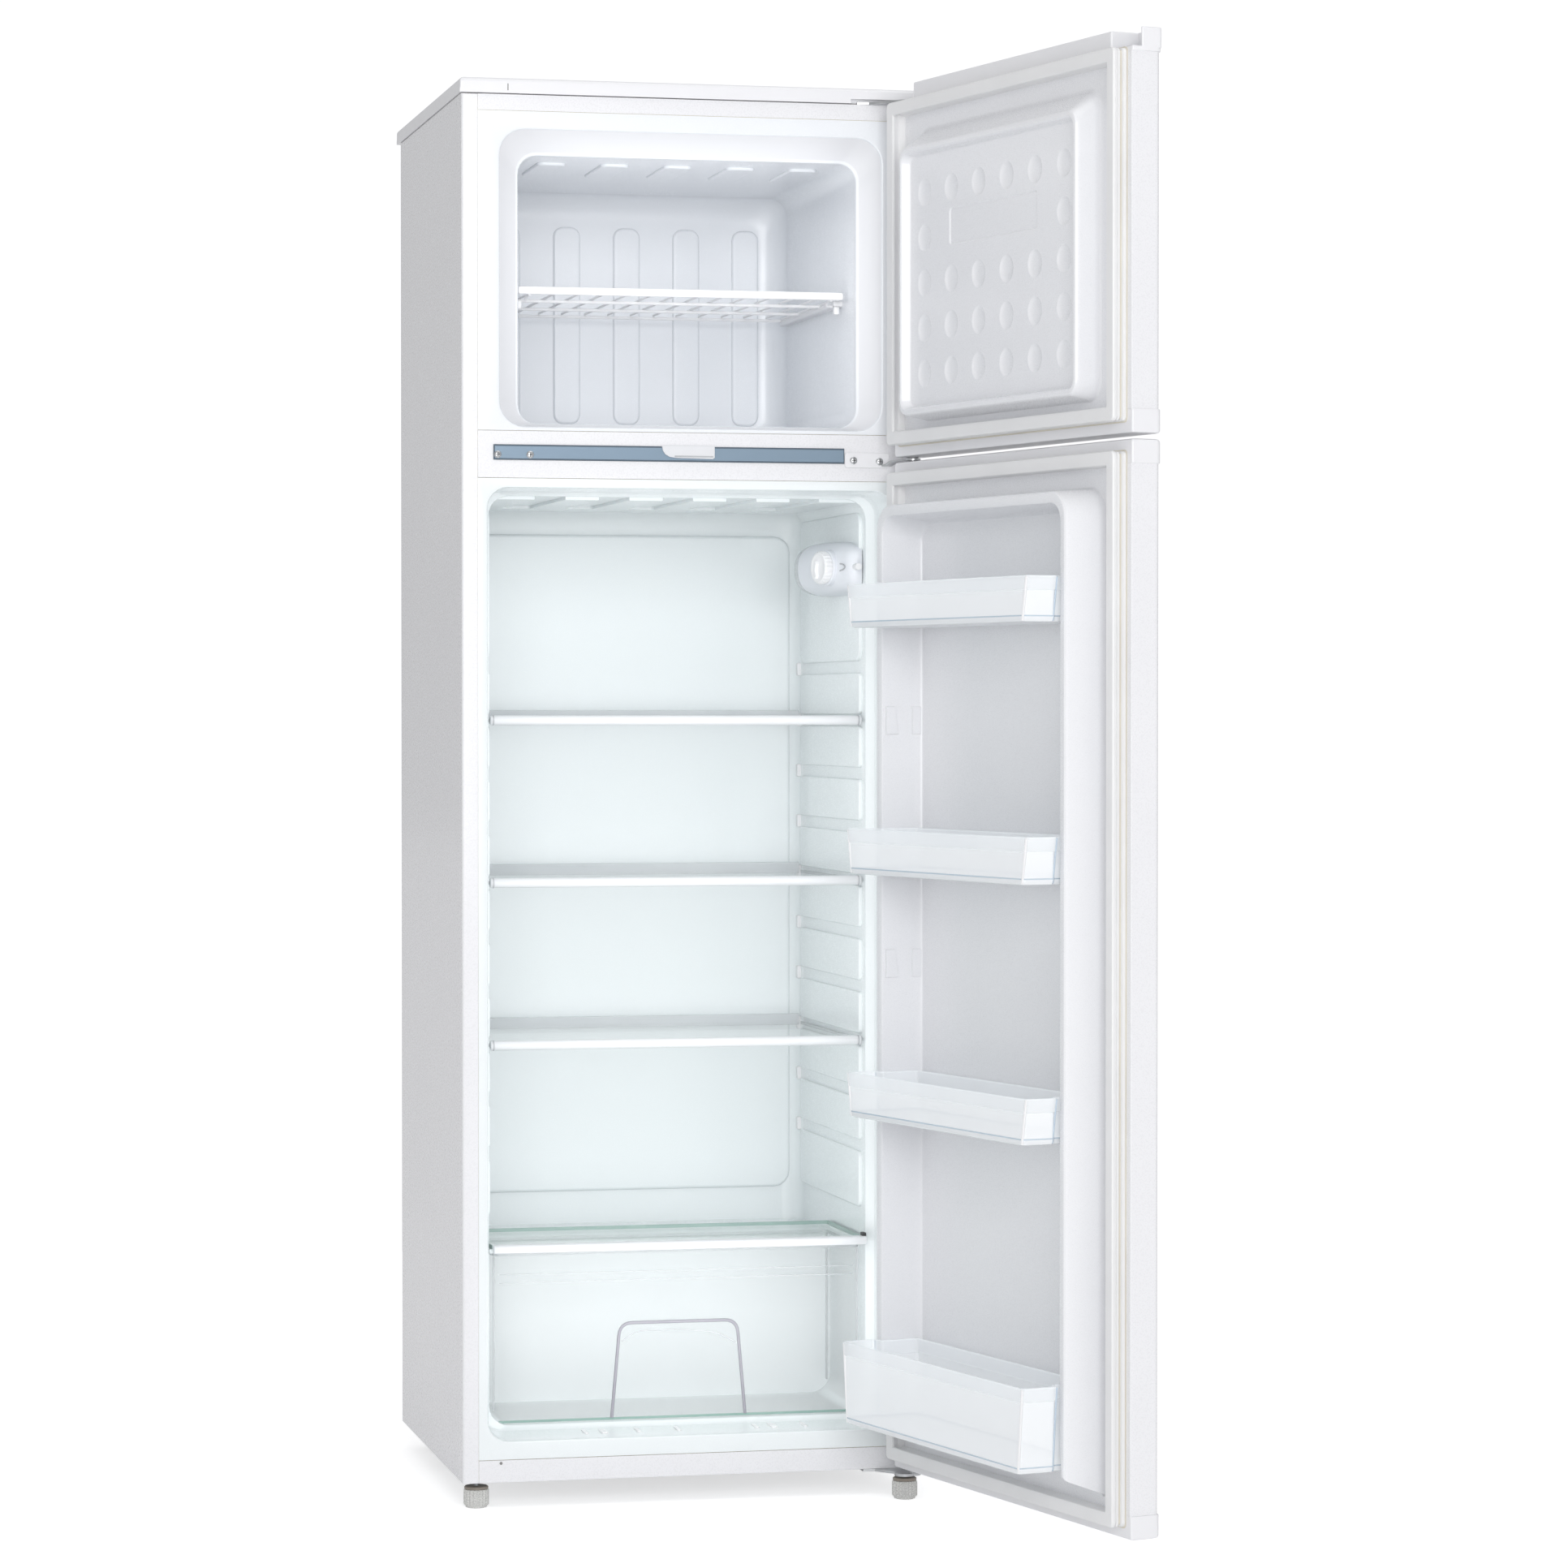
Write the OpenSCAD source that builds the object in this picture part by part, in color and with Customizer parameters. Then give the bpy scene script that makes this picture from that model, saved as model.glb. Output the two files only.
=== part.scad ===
// Top freezer refrigerator, standing on its feet with both doors open.
// Millimetres. Origin: floor level, under the middle of the front left foot. -Y is the front, +Z is up.

/* [Cabinet] */
// Width of the cabinet and of both doors
body_w = 545; // [520:1:600]
// Depth of the cabinet without doors
body_d = 495; // [480:1:560]
// Height of the cabinet from its underside to the underside of the worktop
body_h = 1611; // [1600:1:1640]
// Height of the feet under the cabinet
foot_h = 30; // [26:1:40]
// Thickness of the worktop
cap_t = 19; // [16:1:24]
// How far the worktop reaches past the back of the cabinet
cap_back = 22; // [20:1:40]

/* [Freezer compartment] */
// Inside width of the freezer compartment
freezer_w = 404; // [380:1:410]
// Floor of the freezer compartment above the cabinet's underside
freezer_z0 = 1232; // [1230:1:1240]
// Ceiling of the freezer compartment above the cabinet's underside
freezer_z1 = 1543; // [1520:1:1550]
// Width of the stepped recess around the freezer opening
recess_w = 455; // [440:1:460]
// Depth of that recess
recess_d = 25; // [20:1:30]
// Inside depth of the freezer compartment
freezer_d = 410; // [380:1:415]

/* [Refrigerator compartment] */
// Width of the opening at the front
fridge_open_w = 484; // [478:1:490]
// Inside width behind the front step
fridge_w = 456; // [450:1:458]
// Floor of the compartment above the cabinet's underside
fridge_z0 = 48; // [46:1:60]
// Ceiling of the compartment above the cabinet's underside
fridge_z1 = 1156; // [1140:1:1158]
// Depth of the wide front stretch
fridge_step = 80; // [79:1:84]
// Inside depth of the compartment
fridge_d = 430; // [420:1:435]
// Height of the lowest shelf above the cabinet's underside
shelf_z0 = 502; // [490:1:520]
// Distance from one shelf to the next, three guide steps
shelf_pitch = 192; // [186:3:195]

/* [Doors] */
// Thickness of the door shell
door_t = 36; // [34:1:40]
// Gap that the gasket fills between door and cabinet
gasket_gap = 18; // [18:1:20]
// Opening angle at which the doors stand
open_deg = 103.5; // [100:0.5:106]
// Distance of the hinge axis from the side of the door
hinge_side = 15; // [14:1:17]
// Distance of the hinge axis from the outer face of the door
hinge_front = 20; // [19:1:21]
// Height of the gap between the doors above the cabinet's underside
split_z = 1192; // [1190:1:1193]
// Height of the door end caps
end_cap_h = 26; // [24:1:28]

/* [Hidden] */
$fn = 48;

eps = 1;
sheet = 1;
liner_t = 1.5;
half_w = body_w / 2;
flange = 19;
frame_w = body_w - 2 * flange;

recess_z0 = freezer_z0 - 5;
recess_z1 = freezer_z1 + 28;
freezer_r = 22;
recess_r = 30;
fridge_r = 24;
freezer_frame_z0 = 1222.5;
fridge_frame_z0 = 26.5;
fridge_frame_z1 = 1167;
wall_x = fridge_w / 2;
crisper_step_y = 262;
crisper_step_z = 252;

niche_y = 299;
niche_z = 215;

strip_x0 = -235.5;
strip_x1 = 182.5;
strip_z0 = 1188;
strip_z1 = 1206;
strip_t = 1.5;

door_gap = 6;
door_back = -gasket_gap;
door_front = -gasket_gap - door_t;
hinge_x = half_w - hinge_side;
hinge_y = door_front + hinge_front;
freezer_door_z0 = split_z + door_gap / 2;
freezer_door_z1 = body_h + cap_t;
fridge_door_z0 = 5;
fridge_door_z1 = split_z - door_gap / 2;
pin_r = 4;
bush_r = 7;
running_gap = 0.05;
plate_t = 3;
arm_half = 9;
cap_proud = 1.5;
panel_half = 204;
panel_z0 = 1233;
panel_z1 = 1547;
panel_p = 28;
dyke_x0 = 205;
dyke_x1 = 222;
dyke_p = 52;
dyke_z0 = 66;
dyke_z1 = 1135;
dyke_bar = 13;
gasket_in = 10;
gasket_in_z = 13;
gasket_in_top = cap_t + 3;
gasket_w = 16;

shelf_half = wall_x - 2.5;
shelf_y0 = 85;
shelf_t = 4;
cover_z = 271;
guide_pitch = shelf_pitch / 3;
guide_z0 = shelf_z0 - 2 * guide_pitch;

lamp_z = 1070;
lamp_y0 = 92;
lamp_y1 = 306;
lamp_y_full = 206;
lamp_d = 53;
lamp_d_front = 20;
lamp_h = 66;
lamp_wall = 2.5;
lamp_tilt = atan2(lamp_d - lamp_d_front, lamp_y_full - lamp_y0);
bulb_x = wall_x - 24;
bulb_y = 203;
dial_y = 140;
dial_x = wall_x - lamp_d_front - (dial_y - lamp_y0) * tan(lamp_tilt);
dial_r = 20;
dial_t = 11.5;
shaft_r = 4;
switch_x = wall_x - 9;

foot_r = 15;
foot_left_at = [-254, 17];
foot_right_at = [hinge_x - 10, hinge_y - 1];
roller_r = 16;
roller_x = 235;
roller_y = 450;
axle_r = 3;

compressor_at = [80, 405];
mullion_screws = [[-230.6, 1194.3], [-192.5, 1194.3]];
middle_screws = [[193, 1192], [224.5, 1191]];
top_screws = [[205, 20], [205, 42], [245, 42]];
bottom_screws = [[215, 20], [215, 45], [250, 45]];

// ---- helpers ----

// Puts children in the cabinet's frame: x centred, y from the front plane, z from the underside
module at_cabinet() {
    translate([-foot_left_at[0], -foot_left_at[1], foot_h]) children();
}

// The same frame for a piece on a door, swung open about the hinge axis
module at_door() {
    at_cabinet()
        translate([hinge_x, hinge_y, 0])
            rotate([0, 0, open_deg])
                translate([-hinge_x, -hinge_y, 0]) children();
}

// A box given by its lowest and highest corners
module span(low, high) {
    translate(low) cube(high - low);
}

// Rounded rectangle about the origin
module rounded_rect(w, h, r) {
    square([w - 2 * r, h], center = true);
    square([w, h - 2 * r], center = true);
    for (sx = [-1, 1], sz = [-1, 1])
        translate([sx * (w / 2 - r), sz * (h / 2 - r)]) circle(r = r);
}

// Extrudes an x-z outline from y0 to y1
module along_y(y0, y1) {
    rotate([90, 0, 0]) translate([0, 0, -y1]) linear_extrude(y1 - y0) children();
}

// Extrudes a y-z outline from x0 to x1
module along_x(x0, x1) {
    translate([x0, 0, 0]) rotate([90, 0, 90]) linear_extrude(x1 - x0) children();
}

// Rounded opening of width w from z0 to z1, extruded from y0 to y1
module opening(w, z0, z1, r, y0, y1) {
    translate([0, 0, (z0 + z1) / 2]) along_y(y0, y1) rounded_rect(w, z1 - z0, r);
}

// Cylinder between two points
module rod(a, b, r) {
    d = b - a;
    translate(a)
        rotate([0, acos(d[2] / norm(d)), atan2(d[1], d[0])])
            cylinder(r = r, h = norm(d));
}

// Tube through a list of points, with round elbows
module tube_path(points, r) {
    for (i = [0 : len(points) - 2])
        rod(points[i], points[i + 1], r);
    for (i = [1 : len(points) - 2])
        translate(points[i]) sphere(r = r * 1.06);
}

// ---- cabinet ----

module cabinet_shell() {
    color("white") at_cabinet() difference() {
        span([-half_w, 0, 0], [half_w, body_d - sheet, body_h]);
        span([-half_w + sheet, sheet, -eps], [half_w - sheet, body_d, body_h - sheet]);
        span([-frame_w / 2, -eps, -eps], [frame_w / 2, sheet + eps, body_h - flange]);
        for (p = top_screws)
            translate([p[0], p[1], body_h - sheet - eps]) cylinder(r = 2, h = sheet + 2 * eps);
    }
}

module back_panel() {
    color("gainsboro") at_cabinet()
        span([-half_w, body_d - sheet, niche_z], [half_w, body_d, body_h]);
}

module base_pan() {
    color("gainsboro") at_cabinet() difference() {
        along_x(-half_w + sheet, half_w - sheet)
            polygon([
                [2, 0], [niche_y + sheet, 0], [niche_y + sheet, niche_z - sheet],
                [body_d - sheet, niche_z - sheet], [body_d - sheet, niche_z],
                [niche_y, niche_z], [niche_y, sheet], [2, sheet]
            ]);
        translate([foot_left_at[0], foot_left_at[1], -eps]) cylinder(r = 5, h = 4);
        for (p = bottom_screws)
            translate([p[0], p[1], -eps]) cylinder(r = 2, h = 4);
    }
}

// Inside of the freezer compartment, grown by g
module freezer_space(g) {
    opening(recess_w + 2 * g, recess_z0 - g, recess_z1 + g, recess_r + g, -eps, recess_d + g);
    opening(freezer_w + 2 * g, freezer_z0 - g, freezer_z1 + g, freezer_r + g, -eps, freezer_d + g);
}

// Inside of the refrigerator compartment, grown by g
module fridge_space(g) {
    opening(fridge_open_w + 2 * g, fridge_z0 - g, fridge_z1 + g, fridge_r + g, -eps, fridge_step + g);
    difference() {
        opening(fridge_w + 2 * g, fridge_z0 + 6 - g, fridge_z1 - 6 + g, fridge_r + g, -eps, fridge_d + g);
        span([-half_w, crisper_step_y + g, 0], [half_w, body_d, crisper_step_z - g]);
    }
}

module insulation() {
    color("khaki") at_cabinet() difference() {
        span([-half_w + sheet, sheet, sheet], [half_w - sheet, body_d - sheet, body_h - sheet]);
        span([-half_w, niche_y, 0], [half_w, body_d, niche_z]);
        span([-frame_w / 2, 0, 0], [frame_w / 2, 2, body_h - flange]);
        freezer_space(liner_t);
        fridge_space(liner_t);
        evaporator_cuts();
        translate([foot_left_at[0], foot_left_at[1], 0]) cylinder(r = 6, h = 16);
        for (p = top_screws)
            translate([p[0], p[1], body_h - 10]) cylinder(r = 3, h = 12);
        for (p = bottom_screws)
            translate([p[0], p[1], 0]) cylinder(r = 3, h = 10);
        for (p = concat(mullion_screws, middle_screws))
            translate([p[0], 0, p[1]]) rotate([-90, 0, 0]) cylinder(r = 3, h = 12);
    }
}

// Raised upright pads on the freezer's back wall, over the cooling channels
module freezer_pads() {
    for (i = [-2 : 2])
        span([i * 76 - 17, freezer_d - 4, freezer_z0 + 20], [i * 76 + 17, freezer_d + 1, 1502]);
}

module freezer_liner() {
    color("aliceblue") at_cabinet() {
        difference() {
            union() {
                span([-frame_w / 2, 0, freezer_frame_z0], [frame_w / 2, liner_t, body_h - flange]);
                intersection() {
                    freezer_space(liner_t);
                    span([-half_w, 0, 0], [half_w, body_d, body_h]);
                }
            }
            freezer_space(0);
        }
        freezer_pads();
        for (s = [-1, 1])
            span([min(s * freezer_w / 2, s * 191), 90, 1382], [max(s * freezer_w / 2, s * 191), 385, 1387.5]);
    }
}

// One pair of guide ridges and its rear stop on the wall at side s, centred on height z
module shelf_guide(s, z) {
    for (dz = [-8, 4])
        span([min(s * wall_x, s * (wall_x - 4)), shelf_y0 + 12, z + dz],
             [max(s * wall_x, s * (wall_x - 4)), 414, z + dz + 4]);
    span([min(s * wall_x, s * (wall_x - 7)), 414, z - 8],
         [max(s * wall_x, s * (wall_x - 7)), 424, z + 8]);
}

module fridge_liner() {
    color("aliceblue") at_cabinet() {
        difference() {
            union() {
                span([-frame_w / 2, 0, fridge_frame_z0], [frame_w / 2, liner_t, fridge_frame_z1]);
                intersection() {
                    fridge_space(liner_t);
                    span([-half_w, 0, 0], [half_w, body_d, body_h]);
                }
            }
            fridge_space(0);
        }
        opening(428, 293, 1118, 20, fridge_d - 6, fridge_d + 1);
        for (s = [-1, 1], i = [0 : 9])
            shelf_guide(s, guide_z0 + i * guide_pitch);
        for (s = [-1, 1])
            span([min(s * wall_x, s * (wall_x - 6)), fridge_step, cover_z - 14],
                 [max(s * wall_x, s * (wall_x - 6)), 262, cover_z - 8]);
    }
}

module divider_rail() {
    color("white") at_cabinet() difference() {
        span([-frame_w / 2, 0, fridge_frame_z1], [frame_w / 2, 2, freezer_frame_z0]);
        for (p = concat(mullion_screws, middle_screws))
            translate([p[0], -eps, p[1]]) rotate([-90, 0, 0]) cylinder(r = 2, h = 4);
    }
}

module mullion_strip() {
    color("lightslategray") at_cabinet() difference() {
        span([strip_x0, -strip_t, strip_z0], [strip_x1, 0, strip_z1]);
        for (p = mullion_screws)
            translate([p[0], -3, p[1]]) rotate([-90, 0, 0]) cylinder(r = 2, h = 4);
    }
}

module strip_clip() {
    color("white") at_cabinet()
        span([-37, -strip_t - 2.5, strip_z0 + 1], [26, -strip_t, strip_z1 - 3]);
}

// Upturned tray over the whole top, open below, notched for the top hinge
module worktop() {
    color("white") at_cabinet() difference() {
        span([-half_w - 2, -3, body_h], [half_w + 2, body_d + cap_back, body_h + cap_t]);
        span([-half_w + 2, 2, body_h - eps], [half_w - 2, body_d - 3, body_h + cap_t - 3]);
        span([190, -4, body_h - eps], [half_w - 4, 4, body_h + 6]);
    }
}

module kick_panel() {
    color("white") at_cabinet()
        span([-frame_w / 2, 0, 0], [frame_w / 2, 2, fridge_frame_z0]);
}

module frame_screws() {
    color("silver") at_cabinet() {
        for (p = mullion_screws)
            translate([p[0], 0, p[1]]) rotate([90, 0, 0]) screw(4, strip_t, 10);
        for (p = middle_screws)
            translate([p[0], 0, p[1]]) rotate([90, 0, 0]) screw(4.5, plate_t, 10);
        for (p = top_screws)
            translate([p[0], p[1], body_h]) screw(4.5, plate_t, 8);
        for (p = bottom_screws)
            translate([p[0], p[1], 0]) mirror([0, 0, 1]) screw(4.5, plate_t, 8);
    }
}

// Pan head screw: head on top of a plate of thickness t, shank reaching depth below zero
module screw(head_r, t, depth) {
    translate([0, 0, t]) cylinder(r = head_r, h = 2);
    translate([0, 0, -depth]) cylinder(r = 2, h = depth + t);
}

// ---- hinges ----

// Outline with a chamfered tip round the pin, led in by the points given
module arm_outline(lead) {
    tip = [[arm_half, -4], [4, -arm_half], [-4, -arm_half], [-arm_half, -4]];
    difference() {
        polygon(concat(lead, [for (p = tip) [hinge_x + p[0], hinge_y + p[1]]]));
        translate([hinge_x, hinge_y]) circle(r = pin_r);
    }
}

module top_hinge() {
    color("silver") at_cabinet() translate([0, 0, body_h]) difference() {
        linear_extrude(plate_t) arm_outline([[212, -1], [198, 1], [198, 52], [266, 52], [266, -1]]);
        for (p = top_screws)
            translate([p[0], p[1], -eps]) cylinder(r = 2, h = 6);
    }
}

module middle_hinge() {
    color("white") at_cabinet() {
        difference() {
            span([strip_x1, -plate_t, 1183.5], [236.5, 0, 1201]);
            for (p = middle_screws)
                translate([p[0], -5, p[1]]) rotate([-90, 0, 0]) cylinder(r = 2, h = 6);
        }
        translate([0, 0, split_z - plate_t / 2])
            linear_extrude(plate_t) arm_outline([[hinge_x - arm_half, hinge_y + 6], [229.5, 0], [236.5, 0],
                [hinge_x + arm_half, hinge_y + 4]]);
    }
}

module bottom_hinge() {
    color("silver") at_cabinet() translate([0, 0, -plate_t]) difference() {
        union() {
            linear_extrude(plate_t) arm_outline([[220, -1], [206, 1], [206, 56], [266, 56], [266, -1]]);
            translate([foot_right_at[0], foot_right_at[1], 0]) cylinder(r = 12, h = plate_t);
        }
        translate([foot_right_at[0], foot_right_at[1], -eps]) cylinder(r = 3, h = 2);
        translate([hinge_x, hinge_y, -eps]) cylinder(r = pin_r, h = 6);
        for (p = bottom_screws)
            translate([p[0], p[1], -eps]) cylinder(r = 2, h = 6);
    }
}

module hinge_pins() {
    color("silver") at_cabinet() {
        translate([hinge_x, hinge_y, body_h - 14]) cylinder(r = pin_r, h = 14 + plate_t);
        translate([hinge_x, hinge_y, split_z - 17]) cylinder(r = pin_r, h = 34);
        translate([hinge_x, hinge_y, -plate_t]) cylinder(r = pin_r, h = 22 + plate_t);
    }
}

// ---- feet and rollers ----

// Levelling foot: ribbed knob and threaded stud, bottom on the floor
module levelling_foot(at, stud_top) {
    at_cabinet() translate([at[0], at[1], 0]) {
        translate([0, 0, -foot_h]) cylinder(r = foot_r - 3, h = 3);
        translate([0, 0, 3 - foot_h]) cylinder(r = foot_r, h = foot_h - 8);
        translate([0, 0, -5]) cylinder(r = stud_top > 0 ? 4 : 2.9, h = 5 + stud_top);
    }
}

module foot_left() {
    color("whitesmoke") levelling_foot(foot_left_at, 14);
}

module foot_right() {
    color("whitesmoke") levelling_foot(foot_right_at, -2.2);
}

module roller(s) {
    color("dimgray") at_cabinet()
        translate([s * roller_x, roller_y, roller_r - foot_h])
            rotate([0, 90, 0]) difference() {
                cylinder(r = roller_r, h = 14, center = true);
                cylinder(r = axle_r + running_gap, h = 16, center = true);
            }
}

module roller_left() {
    roller(-1);
}

module roller_right() {
    roller(1);
}

// ---- cooling circuit ----

module compressor_plate() {
    color("gray") at_cabinet() {
        difference() {
            span([sheet - half_w, 318, 0], [half_w - sheet, 486, 2]);
            for (s = [-1, 1])
                span([s * roller_x - 8.5, roller_y - 19, -eps], [s * roller_x + 8.5, roller_y + 19, 3]);
        }
        for (s = [-1, 1], e = [-1, 1])
            translate([s * roller_x + e * 10.2, roller_y, 0]) span([-1.2, -9, -20], [1.2, 9, 2]);
        for (s = [-1, 1])
            translate([s * roller_x, roller_y, roller_r - foot_h])
                rotate([0, 90, 0]) cylinder(r = axle_r, h = 24, center = true);
    }
}

module compressor_housing() {
    color("black") at_cabinet() translate([compressor_at[0], compressor_at[1], 12]) {
        rotate_extrude() difference() {
            compressor_outline(0);
            compressor_outline(3);
        }
        for (s = [-1, 1])
            difference() {
                span([min(s * 50, s * 100), -60, 0], [max(s * 50, s * 100), 60, 3]);
                cylinder(r = 62, h = 10, center = true);
                for (t = [-1, 1])
                    translate([s * 88, t * 48, -eps]) cylinder(r = 6, h = 6);
            }
    }
}

// Half outline of the compressor's pot, inset by g
module compressor_outline(g) {
    translate([0, g]) square([62 - g, 100 - g]);
    intersection() {
        translate([0, 60]) circle(r = 72 - g);
        translate([0, 95]) square([62 - g, 80]);
    }
}

module compressor_motor() {
    color("chocolate") at_cabinet()
        translate([compressor_at[0], compressor_at[1], 22]) {
            cylinder(r = 42, h = 62);
            translate([0, 0, 62]) cylinder(r = 26, h = 34);
        }
}

module compressor_grommets() {
    color("dimgray") at_cabinet() for (s = [-1, 1], t = [-1, 1])
        translate([compressor_at[0] + s * 88, compressor_at[1] + t * 48, 2]) {
            cylinder(r = 11, h = 10);
            translate([0, 0, 10]) cylinder(r = 6, h = 3);
            translate([0, 0, 13]) cylinder(r = 9, h = 3);
        }
}

module relay_box() {
    color("dimgray") at_cabinet() span([-10, 375, 30], [18, 435, 95]);
}

module power_inlet() {
    color("dimgray") at_cabinet() translate([4, 0, 60]) difference() {
        translate([0, 435, 0]) rotate([-90, 0, 0]) cylinder(r = 9, h = 22);
        translate([0, 441, 0]) rotate([-90, 0, 0]) cylinder(r = 4, h = 20);
    }
}

module drip_tray() {
    color("whitesmoke") at_cabinet() difference() {
        span([0, 335, 144], [160, 475, 178]);
        span([2.5, 337.5, 146.5], [157.5, 472.5, 180]);
    }
}

module filter_drier() {
    color("peru") at_cabinet() translate([-120, 400, 40]) {
        cylinder(r = 10, h = 110);
        translate([0, 0, 110]) cylinder(r = 4, h = 12);
        translate([0, 0, -12]) cylinder(r = 4, h = 12);
    }
}

module refrigerant_tubes() {
    color("peru") at_cabinet() {
        tube_path([[60, 343, 70], [60, 326, 70], [-225, 326, 70], [-225, 506, 70], [-225, 506, 239]], 3);
        tube_path([[-210, 506, 239], [-210, 506, 190], [-120, 506, 190], [-120, 400, 190],
            [-120, 400, 163]], 3);
        tube_path([[-120, 400, 27], [-120, 400, 14], [-120, 350, 14], [-190, 350, 14],
            [-190, 350, 213]], 2.5);
        tube_path([[143, 405, 50], [190, 405, 50], [190, 330, 50], [190, 330, 213]], 3.5);
    }
}

// Serpentine tube in the x-z plane with upright carrier straps
module condenser() {
    runs = 14;
    step = 90;
    bend_r = step / 2;
    run_half = 165;
    z0 = 240;
    color("black") at_cabinet() translate([0, 506, 0]) {
        for (i = [0 : runs - 1])
            rod([-run_half, 0, z0 + 40 + i * step], [run_half, 0, z0 + 40 + i * step], 3);
        for (i = [0 : runs - 2])
            translate([(i % 2 == 0 ? 1 : -1) * run_half, 0, z0 + 40 + i * step + bend_r])
                rotate([90, 0, 0]) intersection() {
                    rotate_extrude() translate([bend_r, 0]) circle(r = 3);
                    translate([i % 2 == 0 ? 0 : -60, -60, -5]) cube([60, 120, 10]);
                }
        rod([-run_half, 0, z0 + 40], [-210, 0, z0 + 40], 3);
        rod([-210, 0, z0 + 40], [-210, 0, z0], 3);
        translate([-210, 0, z0 + 40]) sphere(r = 3.2);
        rod([-run_half, 0, z0 + 40 + (runs - 1) * step], [-225, 0, z0 + 40 + (runs - 1) * step], 3);
        translate([-225, 0, z0 + 40 + (runs - 1) * step]) sphere(r = 3.2);
        rod([-225, 0, z0], [-225, 0, z0 + 40 + (runs - 1) * step], 3);
        for (x = [-150 : 60 : 150])
            span([x - 1, -2, z0 + 20], [x + 1, 2, z0 + 60 + (runs - 1) * step]);
        for (x = [-150, 150], z = [z0 + 60, z0 + 1160])
            span([x - 12, -11, z - 6], [x + 12, 4, z + 6]);
    }
}

// Flat cooling plates in the foam behind both compartments
module evaporator_cuts() {
    span([-180, freezer_d + liner_t, 1250], [180, freezer_d + liner_t + 2, 1520]);
    span([-200, fridge_d + liner_t, 350], [200, fridge_d + liner_t + 2, 1080]);
}

module evaporator_plates() {
    color("silver") at_cabinet() evaporator_cuts();
}

// ---- lamp and thermostat ----

// Lamp housing inset by g: tapered towards the front in plan, rounded above and below
module lamp_body(g) {
    intersection() {
        translate([0, 0, lamp_z - lamp_h / 2 + g]) linear_extrude(lamp_h - 2 * g)
            offset(delta = -g) polygon([
                [wall_x + 2 * g, lamp_y0], [wall_x - lamp_d_front, lamp_y0],
                [wall_x - lamp_d, lamp_y_full], [wall_x - lamp_d, lamp_y1], [wall_x + 2 * g, lamp_y1]
            ]);
        along_x(wall_x - lamp_d, wall_x + g) translate([(lamp_y0 + lamp_y1) / 2, lamp_z])
            rounded_rect(lamp_y1 - lamp_y0 - 2 * g, lamp_h - 2 * g, lamp_h / 2 - g - 0.5);
    }
}

// Puts children on the housing's slanted face, their +Z pointing into the housing
module at_dial() {
    translate([dial_x, dial_y, lamp_z]) rotate([0, 0, lamp_tilt]) rotate([0, 90, 0]) children();
}

module lamp_housing() {
    color("lightsteelblue") at_cabinet() difference() {
        lamp_body(0);
        lamp_body(lamp_wall);
        at_dial() translate([0, 0, -eps]) cylinder(r = shaft_r + running_gap, h = 8);
        translate([switch_x, lamp_y0 - 5, lamp_z]) rotate([-90, 0, 0]) cylinder(r = 4.3, h = 14);
    }
}

module lamp_holder() {
    color("white") at_cabinet()
        translate([bulb_x, bulb_y + 44, lamp_z]) rotate([90, 0, 0]) cylinder(r = 13, h = 24);
}

module lamp_bulb() {
    color("lightyellow") at_cabinet() translate([bulb_x, bulb_y + 20, lamp_z]) rotate([90, 0, 0]) {
        cylinder(r = 7, h = 8);
        translate([0, 0, 20]) sphere(r = 14);
    }
}

// Knob in front of the slanted face, on a stub shaft that turns in the housing
module thermostat_dial() {
    color("white") at_cabinet() at_dial() {
        translate([0, 0, -dial_t - 0.5]) cylinder(r = dial_r, h = dial_t);
        translate([0, 0, -dial_t - 0.5]) cylinder(r = shaft_r, h = 30);
    }
}

module lamp_switch() {
    color("white") at_cabinet()
        translate([switch_x, lamp_y0 - 14, lamp_z]) rotate([-90, 0, 0]) cylinder(r = 4, h = 28);
}

// ---- shelves and crisper ----

module freezer_shelf() {
    z = 1390;
    half = freezer_w / 2 - 6;
    y0 = 60;
    y1 = 380;
    color("white") at_cabinet() {
        span([-half, y0, z - 4], [half, y0 + 5, z + 6]);
        for (x = [-half + 2, half - 2])
            rod([x, y0 + 2, z], [x, y1, z], 2);
        for (y = [y0 + 110, y0 + 220, y1])
            rod([-half + 2, y, z], [half - 2, y, z], 2);
        for (i = [-12 : 12])
            span([i * 15 - 1.2, y0 + 2, z + 1], [i * 15 + 1.2, y1, z + 3.4]);
    }
}

module shelf(z) {
    color("lightcyan") at_cabinet() {
        span([-shelf_half, shelf_y0 + 6, z - shelf_t / 2], [shelf_half, 410, z + shelf_t / 2]);
        translate([-shelf_half, shelf_y0 + 6, z]) rotate([0, 90, 0]) cylinder(r = 6, h = 2 * shelf_half);
        span([-shelf_half + 4, 406, z], [shelf_half - 4, 410, z + 12]);
    }
}

module shelf_top() {
    shelf(shelf_z0 + 2 * shelf_pitch);
}

module shelf_middle() {
    shelf(shelf_z0 + shelf_pitch);
}

module shelf_bottom() {
    shelf(shelf_z0);
}

module crisper_cover() {
    color("lightcyan") at_cabinet() {
        span([-shelf_half, 70, cover_z - 8], [shelf_half, 258, cover_z - 4]);
        span([-shelf_half, 60, cover_z - 13], [shelf_half, 74, cover_z]);
    }
}

module crisper_drawer() {
    half = shelf_half - 3;
    color("aliceblue") at_cabinet() {
        difference() {
            opening(2 * half, 55, 272, 16, 90, 256);
            opening(2 * half - 5, 57.5, 300, 14, 92.5, 253.5);
            span([-half_w, 80, 256], [half_w, 260, 300]);
        }
        difference() {
            span([-80, 84, 60], [76, 91, 178]);
            span([-76, 86, 50], [72, 89.5, 174]);
        }
    }
}

// ---- doors ----

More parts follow.
